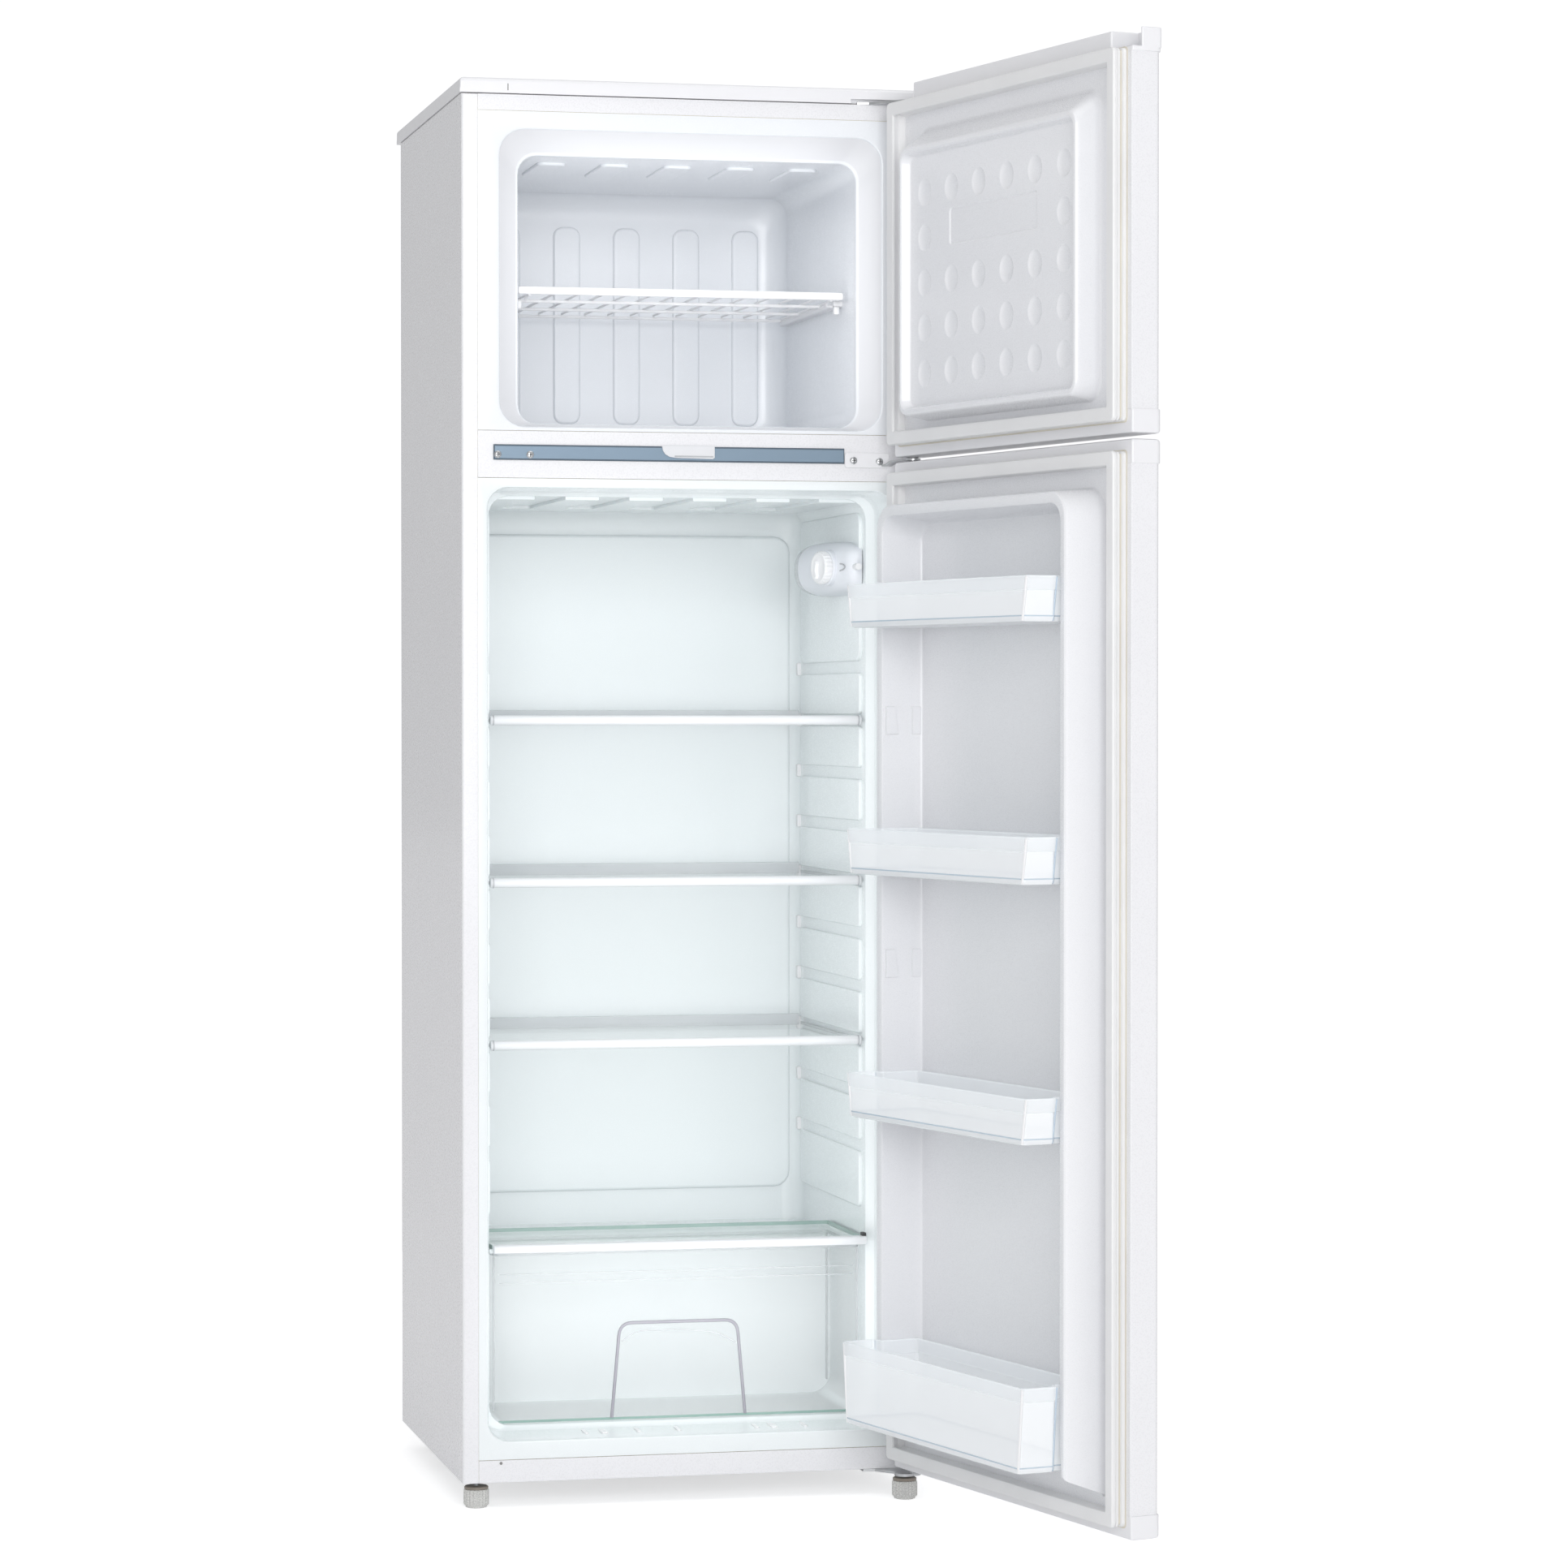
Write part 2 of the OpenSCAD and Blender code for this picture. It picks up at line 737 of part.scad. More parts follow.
// Door dimensions differ only in height: z0 and z1 are the door's lower and upper ends
module door_skin(z0, z1) {
    color("white") at_door() difference() {
        span([-half_w, door_front, z0 + end_cap_h], [half_w, door_back, z1 - end_cap_h]);
        span([-half_w + sheet, door_front + sheet, z0], [half_w - sheet, 0, z1]);
    }
}

// Hinge block inside the hinge-side end of a door, from z0 to z1
module hinge_block(z0, z1) {
    span([hinge_x - 22, door_front + 4, z0], [half_w - 2, door_back - 4, z1]);
}

module door_foam(z0, z1) {
    span([-half_w + sheet, door_front + sheet, z0 + end_cap_h],
         [half_w - sheet, door_back - liner_t, z1 - end_cap_h]);
}

// Flat liner sheet between the end caps
module liner_sheet(z0, z1) {
    span([-half_w + sheet, door_back - liner_t, z0 + end_cap_h], [half_w - sheet, door_back, z1 - end_cap_h]);
}

module door_gasket(h0, h1) {
    w = body_w - 2 * gasket_in;
    color("ivory") at_door() difference() {
        span([-w / 2, door_back, h0], [w / 2, -0.5, h1]);
        span([-w / 2 + gasket_w, door_back - eps, h0 + gasket_w], [w / 2 - gasket_w, eps, h1 - gasket_w]);
    }
}

// Plain end cap from z0 to z1
module end_cap(z0, z1) {
    span([-half_w - cap_proud, door_front - cap_proud, z0], [half_w + cap_proud, door_back, z1]);
}

// Bore of radius r on the hinge axis from z0 to z1
module hinge_bore(r, z0, z1) {
    translate([hinge_x, hinge_y, z0]) cylinder(r = r, h = z1 - z0);
}

module bush(z0, z1) {
    difference() {
        hinge_bore(bush_r, z0, z1);
        hinge_bore(pin_r + running_gap, z0 - eps, z1 + eps);
    }
}

module freezer_door_skin() {
    door_skin(freezer_door_z0, freezer_door_z1);
}

module freezer_door_foam() {
    color("khaki") at_door() difference() {
        union() {
            door_foam(freezer_door_z0, freezer_door_z1);
            span([-panel_half + liner_t, door_back - liner_t, panel_z0 + liner_t],
                 [panel_half - liner_t, door_back + panel_p - liner_t, panel_z1 - liner_t]);
        }
        span([-182, door_back + panel_p - 9.5, 1256], [182, door_back + panel_p, 1524]);
        hinge_block(1592, freezer_door_z1);
    }
}

module freezer_door_liner() {
    color("aliceblue") at_door() {
        difference() {
            union() {
                liner_sheet(freezer_door_z0, freezer_door_z1);
                span([-panel_half, door_back - liner_t, panel_z0],
                     [panel_half, door_back + panel_p, panel_z1]);
            }
            difference() {
                span([-panel_half + liner_t, door_back - 2 * liner_t, panel_z0 + liner_t],
                     [panel_half - liner_t, door_back + panel_p - liner_t, panel_z1 - liner_t]);
                span([-182, door_back + panel_p - 9.5, 1256], [182, door_back + panel_p, 1524]);
            }
            span([-180.5, door_back + panel_p - 8, 1257.5], [180.5, door_back + panel_p + eps, 1522.5]);
        }
    }
}

module freezer_door_gasket() {
    door_gasket(freezer_door_z0 + gasket_in_z, freezer_door_z1 - gasket_in_top);
}

module freezer_door_top_cap() {
    z = freezer_door_z1;
    color("white") at_door() difference() {
        union() {
            end_cap(z - end_cap_h, z);
            hinge_block(1592, z - 4);
        }
        span([hinge_x - 30, door_front + 2, body_h - 2], [half_w + 5, door_back + eps, z + eps]);
        hinge_bore(bush_r, 1595, z);
    }
}

module freezer_door_bottom_cap() {
    z = freezer_door_z0;
    color("white") at_door() difference() {
        end_cap(z, z + end_cap_h);
        hinge_bore(bush_r, z - eps, z + 19);
    }
}

module freezer_door_bushes() {
    color("gray") at_door() {
        bush(1595, body_h - 2);
        bush(freezer_door_z0, freezer_door_z0 + 19);
    }
}

module fridge_door_skin() {
    door_skin(fridge_door_z0, fridge_door_z1);
}

// Raised frame of the lower door, two upright dykes and the bar over them, inset by g
module dykes(g) {
    span([g - dyke_x1, door_back - liner_t - g, dyke_z1 - dyke_bar + g],
         [dyke_x1 - g, door_back + dyke_p - g, dyke_z1 - g]);
    for (s = [-1, 1])
        span([min(s * (dyke_x0 + g), s * (dyke_x1 - g)), door_back - liner_t - g, dyke_z0 + g],
             [max(s * (dyke_x0 + g), s * (dyke_x1 - g)), door_back + dyke_p - g, dyke_z1 - g]);
}

module fridge_door_foam() {
    color("khaki") at_door() {
        door_foam(fridge_door_z0, fridge_door_z1);
        difference() {
            dykes(liner_t);
            span([-half_w, door_front, 0], [half_w, door_back - liner_t, body_h]);
        }
    }
}

module fridge_door_liner() {
    color("aliceblue") at_door() difference() {
        union() {
            liner_sheet(fridge_door_z0, fridge_door_z1);
            dykes(0);
        }
        dykes(liner_t);
    }
}

module fridge_door_gasket() {
    door_gasket(fridge_door_z0 + gasket_in_z, fridge_door_z1 - gasket_in_z);
}

module fridge_door_top_cap() {
    z = fridge_door_z1;
    color("white") at_door() difference() {
        end_cap(z - end_cap_h, z);
        hinge_bore(bush_r, z - 19, z + eps);
    }
}

module fridge_door_bottom_cap() {
    z = fridge_door_z0;
    color("white") at_door() difference() {
        end_cap(z, z + end_cap_h);
        hinge_bore(bush_r, z - eps, z + 20);
    }
}

module fridge_door_bushes() {
    color("gray") at_door() {
        bush(fridge_door_z1 - 19, fridge_door_z1);
        bush(fridge_door_z0, fridge_door_z0 + 20);
    }
}

// Door bin: narrow between the dykes, wide in front of them, open above
module door_bin(z0, h, reach, wide) {
    wall = 2.5;
    narrow = dyke_x0 - 3;
    color("lightcyan") at_door() difference() {
        union() {
            span([-narrow, door_back + 1, z0], [narrow, door_back + reach, z0 + h]);
            span([-wide, door_back + dyke_p + 2, z0], [wide, door_back + reach, z0 + h]);
        }
        span([-narrow + wall, door_back + 1 + wall, z0 + wall],
             [narrow - wall, door_back + reach - wall, z0 + h + eps]);
        span([-wide + wall, door_back + dyke_p + 2 + wall, z0 + wall],
             [wide - wall, door_back + reach - wall, z0 + h + eps]);
    }
}

module door_bin_top() {
    door_bin(993, 50, 95, 213);
}

module door_bin_middle() {
    door_bin(709, 52, 95, 213);
}

module door_bin_lower() {
    door_bin(428, 51, 95, 213);
}

module door_bin_deep() {
    door_bin(73, 94, 100, 214);
}

cabinet_shell();
back_panel();
base_pan();
insulation();
freezer_liner();
fridge_liner();
divider_rail();
mullion_strip();
strip_clip();
worktop();
kick_panel();
top_hinge();
middle_hinge();
bottom_hinge();
hinge_pins();
frame_screws();
foot_left();
foot_right();
roller_left();
roller_right();
compressor_plate();
compressor_housing();
compressor_motor();
compressor_grommets();
relay_box();
power_inlet();
drip_tray();
filter_drier();
refrigerant_tubes();
condenser();
evaporator_plates();
lamp_housing();
lamp_holder();
lamp_bulb();
thermostat_dial();
lamp_switch();
freezer_shelf();
shelf_top();
shelf_middle();
shelf_bottom();
crisper_cover();
crisper_drawer();
freezer_door_skin();
freezer_door_foam();
freezer_door_liner();
freezer_door_gasket();
freezer_door_top_cap();
freezer_door_bottom_cap();
freezer_door_bushes();
fridge_door_skin();
fridge_door_foam();
fridge_door_liner();
fridge_door_gasket();
fridge_door_top_cap();
fridge_door_bottom_cap();
fridge_door_bushes();
door_bin_top();
door_bin_middle();
door_bin_lower();
door_bin_deep();
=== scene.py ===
"""Top freezer refrigerator with both doors open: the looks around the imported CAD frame."""

import math

import bmesh
import bpy
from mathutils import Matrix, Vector
from mathutils.geometry import tessellate_polygon


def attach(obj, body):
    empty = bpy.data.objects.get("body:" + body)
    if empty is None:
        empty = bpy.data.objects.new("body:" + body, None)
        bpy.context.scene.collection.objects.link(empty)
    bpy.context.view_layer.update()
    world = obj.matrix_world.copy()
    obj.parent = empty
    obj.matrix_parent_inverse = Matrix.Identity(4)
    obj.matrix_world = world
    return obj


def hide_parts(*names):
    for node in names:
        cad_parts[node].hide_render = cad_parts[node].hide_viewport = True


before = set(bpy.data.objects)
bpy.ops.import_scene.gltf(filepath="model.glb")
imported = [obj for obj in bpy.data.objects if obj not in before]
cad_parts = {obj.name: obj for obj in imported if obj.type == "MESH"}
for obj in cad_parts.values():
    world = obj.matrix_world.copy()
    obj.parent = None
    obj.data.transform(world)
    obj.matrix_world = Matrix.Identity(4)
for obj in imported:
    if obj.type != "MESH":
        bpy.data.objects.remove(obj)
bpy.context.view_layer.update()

# ---- driving dimensions, in millimetres ----
# Cabinet frame: x centred on the cabinet, y inward from the front plane, z up from the underside.
FOOT_H = 30
FOOT_AT = (-254, 17)
HALF_W = 272.5
BODY_D = 495
BODY_H = 1611
CAP_T = 19
CAP_BACK = 22
FLANGE = 19
FRAME_X = HALF_W - FLANGE
LIP = 2

FREEZER_X = 202
FREEZER_Z = (1232, 1543)
FREEZER_D = 410
RECESS_X = 227.5
RECESS_Z = (1227, 1571)
RECESS_D = 25
WIRE_Z = 1390
STRIP_X = (-235.5, 182.5)
STRIP_Z = (1188, 1206)
FREEZER_FRAME_Z = (1222.5, BODY_H - FLANGE)

OPEN_X = 242
OPEN_Z = (48, 1156)
OPEN_D = 80
INNER_X = 228
INNER_Z = (54, 1150)
FRIDGE_D = 430
FRIDGE_FRAME_Z = (26.5, 1167)
STEP_Y = 262
STEP_Z = 252
COVER_Z = 265
COVER_Y = (60, 258)
PAD_H = 4
GUIDE_PITCH = 64
GUIDE_Z = 374
GUIDES = 10
SHELF_X = INNER_X - 2.5
SHELF_Z = {"shelf_bottom": 502, "shelf_middle": 694, "shelf_top": 886}

DOOR_FRONT = -54
DOOR_BACK = -18
HINGE = (257.5, -34)
OPEN_ANGLE = math.radians(103.5)
SPLIT_Z = 1192
FREEZER_DOOR_Z = (SPLIT_Z + 3, BODY_H + CAP_T)
FRIDGE_DOOR_Z = (5, SPLIT_Z - 3)
END_CAP = 26
PROUD = 1.5
PANEL_P = 31
FIELD_P = 20
DYKE_X = (205, 222)
DYKE_Z = (66, 1135)
DYKE_P = 52
GASKET_IN = 13
GASKET_TOP = 22
# Each bin's underside, rim, reach behind the door's back face and half width.
BINS = {
    "door_bin_top": (993, 1043, 95, 213),
    "door_bin_middle": (709, 761, 95, 213),
    "door_bin_lower": (428, 479, 95, 213),
    "door_bin_deep": (73, 167, 100, 214),
}

LAMP_Z = 1070
LAMP_Y = (92, 306)
LAMP_FULL_Y = 206
LAMP_D = (20, 53)
LAMP_TILT = math.atan2(LAMP_D[1] - LAMP_D[0], LAMP_FULL_Y - LAMP_Y[0])
DIAL_Y = 140
DIAL_X = INNER_X - LAMP_D[0] - (DIAL_Y - LAMP_Y[0]) * math.tan(LAMP_TILT)
DIAL_R = 20
DIAL_T = 11.5

ROLLER_AT = (235, 450, -14)
COMPRESSOR_AT = (80, 405, 12)


# ---- places and outlines ----

def place(point):
    """Cabinet millimetres to row metres."""
    x, y, z = point
    return Vector((x - FOOT_AT[0], y - FOOT_AT[1], z + FOOT_H)) * 0.001


def swing(point):
    """A point on a closed door, turned with the door to where it stands."""
    x, y = point[0] - HINGE[0], point[1] - HINGE[1]
    c, s = math.cos(OPEN_ANGLE), math.sin(OPEN_ANGLE)
    return (HINGE[0] + c * x - s * y, HINGE[1] + s * x + c * y, point[2])


def arc(cx, cy, r, start, end, steps):
    """Points on a circle between two angles in degrees."""
    turns = [math.radians(start + (end - start) * i / steps) for i in range(steps + 1)]
    return [(cx + r * math.cos(t), cy + r * math.sin(t)) for t in turns]


def quarter(steps):
    """Angles from nothing to a right angle."""
    return [math.radians(90 * i / steps) for i in range(steps + 1)]


def round_rect(u0, u1, v0, v1, r, steps=6):
    """Rounded rectangle, anticlockwise."""
    centres = ((u1 - r, v0 + r, -90), (u1 - r, v1 - r, 0), (u0 + r, v1 - r, 90), (u0 + r, v0 + r, 180))
    return [p for cu, cv, a in centres for p in arc(cu, cv, r, a, a + 90, steps)]


def ring(half, z, r, y, steps=6):
    """Upright rounded rectangle at depth y."""
    return [(u, y, v) for u, v in round_rect(-half, half, z[0], z[1], r, steps)]


def turned(loop):
    """A loop run the other way, which turns the faces built on it."""
    return list(reversed(loop))


def fillet(corners, r, steps=4, closed=True):
    """A path or outline with its corners rounded to about r."""
    count = len(corners)
    keys = [Vector(c) for c in corners]
    path = []
    for i, here in enumerate(keys):
        if not closed and i in (0, count - 1):
            path.append(tuple(here))
            continue
        before, after = keys[i - 1] - here, keys[(i + 1) % count] - here
        reach = min(r, before.length * 0.45, after.length * 0.45)
        a, b = here + before.normalized() * reach, here + after.normalized() * reach
        for k in range(steps + 1):
            t = k / steps
            path.append(tuple(a * (1 - t) ** 2 + here * 2 * t * (1 - t) + b * t ** 2))
    return path


# ---- shape building ----

class Part:
    """Vertices and faces in cabinet millimetres, with one material number per face."""

    def __init__(self):
        self.points = []
        self.faces = []
        self.kinds = []

    def add(self, points, faces, kind=0):
        base = len(self.points)
        self.points.extend(tuple(p) for p in points)
        self.faces.extend([base + i for i in f] for f in faces)
        self.kinds.extend([kind] * len(faces))


def strips(count, rings, loop=False):
    """Quads between neighbouring rings of count points each."""
    faces = []
    for i in range(rings if loop else rings - 1):
        a, b = i * count, ((i + 1) % rings) * count
        for j in range(count):
            k = (j + 1) % count
            faces.append((a + j, a + k, b + k, b + j))
    return faces


def solid(part, points, faces, kind=0, soft=0.0, steps=2):
    """Adds a closed shape, its sharp edges rounded by soft."""
    work = bmesh.new()
    corners = [work.verts.new(p) for p in points]
    for f in faces:
        work.faces.new([corners[i] for i in f])
    bmesh.ops.recalc_face_normals(work, faces=work.faces)
    if soft > 0:
        sharp = [e for e in work.edges if e.calc_face_angle(0) > math.radians(30)]
        bmesh.ops.bevel(work, geom=sharp, offset=soft, segments=steps, profile=0.5,
                        affect="EDGES", clamp_overlap=True)
    work.verts.index_update()
    part.add([v.co for v in work.verts], [[v.index for v in f.verts] for f in work.faces], kind)
    work.free()


def shell(part, loops, kind=0, cap=False):
    """Adds an open surface through rings, seen from inside the rings."""
    count = len(loops[0])
    faces = strips(count, len(loops))
    if cap:
        faces.append(range((len(loops) - 1) * count, len(loops) * count))
    part.add([p for r in loops for p in r], faces, kind)


def hull(part, loops, kind=0, loop=False, soft=0.0):
    """Adds a closed solid through rings."""
    count = len(loops[0])
    faces = strips(count, len(loops), loop)
    if not loop:
        faces.append(range(count))
        faces.append(range((len(loops) - 1) * count, len(loops) * count))
    solid(part, [p for r in loops for p in r], faces, kind, soft)


def block(part, low, high, soft=0.6, kind=0, steps=2):
    """Box with rounded edges, from its lowest to its highest corner."""
    points = [(x, y, z) for x in (low[0], high[0]) for y in (low[1], high[1]) for z in (low[2], high[2])]
    faces = [(0, 1, 3, 2), (4, 6, 7, 5), (0, 4, 5, 1), (2, 3, 7, 6), (0, 2, 6, 4), (1, 5, 7, 3)]
    solid(part, points, faces, kind, soft, steps)


def side(s, a, b):
    """The two x values of a mirrored pair, lowest first."""
    return (a, b) if s > 0 else (-b, -a)


def prism(part, outline, to, low, high, soft=0.0, kind=0):
    """Extrudes an outline between two heights; to(u, v, w) gives the point."""
    hull(part, [[to(u, v, w) for u, v in outline] for w in (low, high)], kind, soft=soft)


def upright(u, v, w):
    """An outline in plan, raised along z."""
    return (u, v, w)


def facing(u, v, w):
    """An outline seen from the front, extruded along y."""
    return (u, w, v)


def sideways(u, v, w):
    """An outline seen from the side, extruded along x."""
    return (w, u, v)


def boss(part, u, v, w, to, r=4, soft=2, kind=0, steps=3):
    """Pad over the rectangle u by v, raised from w[0] to w[1], with rounded corners and a soft edge."""
    lift = soft if w[1] > w[0] else -soft
    levels = [(0, w[0])]
    for a in quarter(steps):
        levels.append((soft * (1 - math.cos(a)), w[1] - lift * (1 - math.sin(a))))
    loops = []
    for d, h in levels:
        outline = round_rect(u[0] + d, u[1] - d, v[0] + d, v[1] - d, max(r - d, 0.3), 4)
        loops.append([to(p, q, h) for p, q in outline])
    hull(part, loops, kind)


def sheet(part, outline, holes, to, w, kind=0):
    """Adds a flat face at height w with holes in it."""
    rims = [[Vector((u, v, 0)) for u, v in rim] for rim in [outline, *holes]]
    part.add([to(p.x, p.y, w) for rim in rims for p in rim], tessellate_polygon(rims), kind)


def sweep(part, path, section, kind=0):
    """Carries a section of (side, up) points along a path, keeping up near +Z or +Y."""
    keys = [Vector(p) for p in path]
    loops = []
    side_way = None
    for i, here in enumerate(keys):
        ahead = (keys[min(i + 1, len(keys) - 1)] - keys[max(i - 1, 0)]).normalized()
        if side_way is None:
            up = Vector((0, 0, 1)) if abs(ahead.z) < 0.9 else Vector((0, 1, 0))
            side_way = ahead.cross(up).normalized()
        side_way = (side_way - ahead * side_way.dot(ahead)).normalized()
        up = side_way.cross(ahead)
        loops.append([tuple(here + side_way * a + up * b) for a, b in section])
    hull(part, loops, kind)


def tube(part, points, r, bend=0.0, sides=10, kind=0):
    """Round bar through points, its corners bent to about bend."""
    path = fillet(points, bend, 6, closed=False) if bend > 0 else points
    circle = arc(0, 0, r, 0, 360 - 360 / sides, sides - 1)
    sweep(part, path, circle, kind)


def lathe(part, profile, to, sides=32, kind=0, ribs=0, rib_h=0.0):
    """Turns (radius, height) points; to(u, v, w) gives the point. Ribs ripple the outside."""
    loops = []
    for r, h, *ripple in profile:
        loop = []
        for i in range(sides):
            a = 2 * math.pi * i / sides
            reach = r + (rib_h * math.cos(ribs * a) if ripple else 0)
            loop.append(to(reach * math.cos(a), reach * math.sin(a), h))
        loops.append(loop)
    hull(part, loops, kind)


def standing(at):
    """Mapping for a lathe whose axis rises along z from a point."""
    return lambda u, v, w: (at[0] + u, at[1] + v, at[2] + w)


def lying(at, way=1):
    """Mapping for a lathe whose axis runs along x from a point."""
    return lambda u, v, w: (at[0] + way * w, at[1] + u, at[2] + v)


def forward(at):
    """Mapping for a lathe whose axis comes out of the front."""
    return lambda u, v, w: (at[0] + u, at[1] - w, at[2] + v)


def put(name, data):
    """Makes an object and links it to the scene."""
    made = bpy.data.objects.new(name, data)
    bpy.context.scene.collection.objects.link(made)
    return made


def piece(name, part, body, nodes, materials, on_door=False, crease=32):
    """Makes the Blender object, in place, riding on its body and standing for its CAD nodes."""
    points = [swing(p) for p in part.points] if on_door else part.points
    mesh = bpy.data.meshes.new(name)
    mesh.from_pydata([place(p) for p in points], [], part.faces)
    for m in materials:
        mesh.materials.append(m)
    mesh.polygons.foreach_set("material_index", part.kinds)
    mesh.shade_smooth()
    mesh.set_sharp_from_angle(angle=math.radians(crease))
    mesh.update()
    made = put(name, mesh)
    even = made.modifiers.new("even_shading", "WEIGHTED_NORMAL")
    even.keep_sharp = True
    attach(made, body)
    if nodes:
        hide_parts(*nodes)
    return made


# ---- materials ----

def surface(name, light, dark, rough, patch=4.0, grain=900.0, depth=0.02, stretch=(1, 1, 1), **sockets):
    """Principled surface whose colour and roughness drift between two values, over a fine grain."""
    material = bpy.data.materials.new(name)
    material.use_nodes = True
    nodes, links = material.node_tree.nodes, material.node_tree.links
    shader = nodes["Principled BSDF"]
    spot = nodes.new("ShaderNodeTexCoord")
    scale = nodes.new("ShaderNodeMapping")
    scale.inputs["Scale"].default_value = stretch
    links.new(spot.outputs["Object"], scale.inputs["Vector"])

    drift = nodes.new("ShaderNodeTexNoise")
    drift.inputs["Scale"].default_value = patch
    drift.inputs["Detail"].default_value = 4
    links.new(scale.outputs["Vector"], drift.inputs["Vector"])
    tint = nodes.new("ShaderNodeValToRGB")
    tint.color_ramp.elements[0].position = 0.3
    tint.color_ramp.elements[1].position = 0.7
    tint.color_ramp.elements[0].color = (*dark, 1)
    tint.color_ramp.elements[1].color = (*light, 1)
    links.new(drift.outputs["Fac"], tint.inputs["Fac"])
    links.new(tint.outputs["Color"], shader.inputs["Base Color"])

    fine = nodes.new("ShaderNodeTexNoise")
    fine.inputs["Scale"].default_value = grain
    fine.inputs["Detail"].default_value = 3
    links.new(scale.outputs["Vector"], fine.inputs["Vector"])
    spread = nodes.new("ShaderNodeMapRange")
    spread.inputs["To Min"].default_value = rough[0]
    spread.inputs["To Max"].default_value = rough[1]
    links.new(fine.outputs["Fac"], spread.inputs["Value"])
    links.new(spread.outputs["Result"], shader.inputs["Roughness"])
    bump = nodes.new("ShaderNodeBump")
    bump.inputs["Strength"].default_value = depth
    bump.inputs["Distance"].default_value = 0.001
    links.new(fine.outputs["Fac"], bump.inputs["Height"])
    links.new(bump.outputs["Normal"], shader.inputs["Normal"])

    for socket, value in sockets.items():
        shader.inputs[socket.replace("_", " ")].default_value = value
    return material


def white_enamel():
    return surface("white_enamel", (0.83, 0.83, 0.85), (0.81, 0.81, 0.835), (0.22, 0.34), 2.5, 620, 0.05,
                   Coat_Weight=0.35, Coat_Roughness=0.12)


def white_plastic():
    return surface("white_plastic", (0.86, 0.86, 0.87), (0.84, 0.84, 0.855), (0.3, 0.42), 5, 1400, 0.06)


# Darker copy of the white plastic: painted shade on the shelf bars and the crisper cover trim.
def shaded_trim_plastic():
    return surface("shaded_trim_plastic", (0.74, 0.755, 0.77), (0.72, 0.735, 0.755), (0.26, 0.38), 5, 1400, 0.06)


def cap_plastic():
    return surface("cap_plastic", (0.84, 0.84, 0.86), (0.82, 0.82, 0.845), (0.24, 0.36), 5, 1100, 0.05,
                   Coat_Weight=0.2, Coat_Roughness=0.2)


def freezer_plastic():
    return surface("freezer_plastic", (0.85, 0.87, 0.9), (0.83, 0.855, 0.89), (0.2, 0.32), 3, 1300, 0.04,
                   Coat_Weight=0.3, Coat_Roughness=0.15)


def fridge_plastic():
    return surface("fridge_plastic", (0.85, 0.89, 0.9), (0.84, 0.88, 0.893), (0.2, 0.32), 3, 1300, 0.04,
                   Coat_Weight=0.3, Coat_Roughness=0.15)


# Darker copy of the white liner plastic: painted shade on the freezer's sloped recess band and on the strip
# hook.
def shaded_recess_plastic():
    return surface("shaded_recess_plastic", (0.76, 0.765, 0.79), (0.74, 0.75, 0.775), (0.26, 0.38), 3, 1300, 0.04)


def door_plastic():
    return surface("door_plastic", (0.84, 0.845, 0.865), (0.825, 0.83, 0.855), (0.22, 0.34), 3, 1300, 0.04,
                   Coat_Weight=0.25, Coat_Roughness=0.18)


def gap_shade():
    return surface("gap_shade", (0.3, 0.29, 0.29), (0.22, 0.215, 0.21), (0.6, 0.8), 30, 800, 0.1)


# Grey painted shade: pocket floors in the freezer door's top cap, dark rings at the shelf bar ends, the
# lamp's teardrop groove and a line near the strip hook's foot.
def painted_pocket_shade():
    return surface("painted_pocket_shade", (0.5, 0.51, 0.53), (0.44, 0.45, 0.47), (0.4, 0.55), 20, 1000, 0.08)


def strip_paint():
    return surface("strip_paint", (0.21, 0.285, 0.36), (0.185, 0.255, 0.33), (0.3, 0.42), 9, 900, 0.08,
                   (0.15, 1, 1), Metallic=0.35)


# Darker copy of the strip paint: painted shade on the strip's bevelled rim.
def strip_edge_shade():
    return surface("strip_edge_shade", (0.09, 0.12, 0.155), (0.07, 0.1, 0.13), (0.35, 0.5), 9, 900, 0.08,
                   (0.15, 1, 1), Metallic=0.35)


def zinc():
    return surface("zinc", (0.62, 0.63, 0.64), (0.5, 0.51, 0.52), (0.22, 0.4), 60, 700, 0.1, Metallic=1.0)


def slot_shade():
    return surface("slot_shade", (0.12, 0.12, 0.125), (0.07, 0.07, 0.075), (0.45, 0.6), 60, 900, 0.1,
                   Metallic=0.5)


def plate_steel():
    return surface("plate_steel", (0.56, 0.57, 0.58), (0.44, 0.45, 0.465), (0.3, 0.46), 25, 500, 0.12,
                   (1, 1, 0.2), Metallic=0.95)


def back_steel():
    return surface("back_steel", (0.63, 0.64, 0.65), (0.55, 0.56, 0.575), (0.32, 0.46), 30, 420, 0.15,
                   Metallic=0.7)


def black_paint():
    return surface("black_paint", (0.035, 0.035, 0.037), (0.02, 0.02, 0.022), (0.35, 0.5), 25, 500, 0.2,
                   Coat_Weight=0.15)


def copper():
    return surface("copper", (0.72, 0.4, 0.24), (0.5, 0.26, 0.16), (0.25, 0.42), 40, 600, 0.1, Metallic=1.0)


def dark_plastic():
    return surface("dark_plastic", (0.05, 0.05, 0.052), (0.035, 0.035, 0.037), (0.4, 0.55), 30, 900, 0.15)


def dark_rubber():
    return surface("dark_rubber", (0.045, 0.044, 0.043), (0.03, 0.03, 0.03), (0.6, 0.8), 40, 700, 0.25)


def gasket_rubber():
    return surface("gasket_rubber", (0.82, 0.82, 0.825), (0.79, 0.79, 0.795), (0.4, 0.55), 12, 900, 0.1)


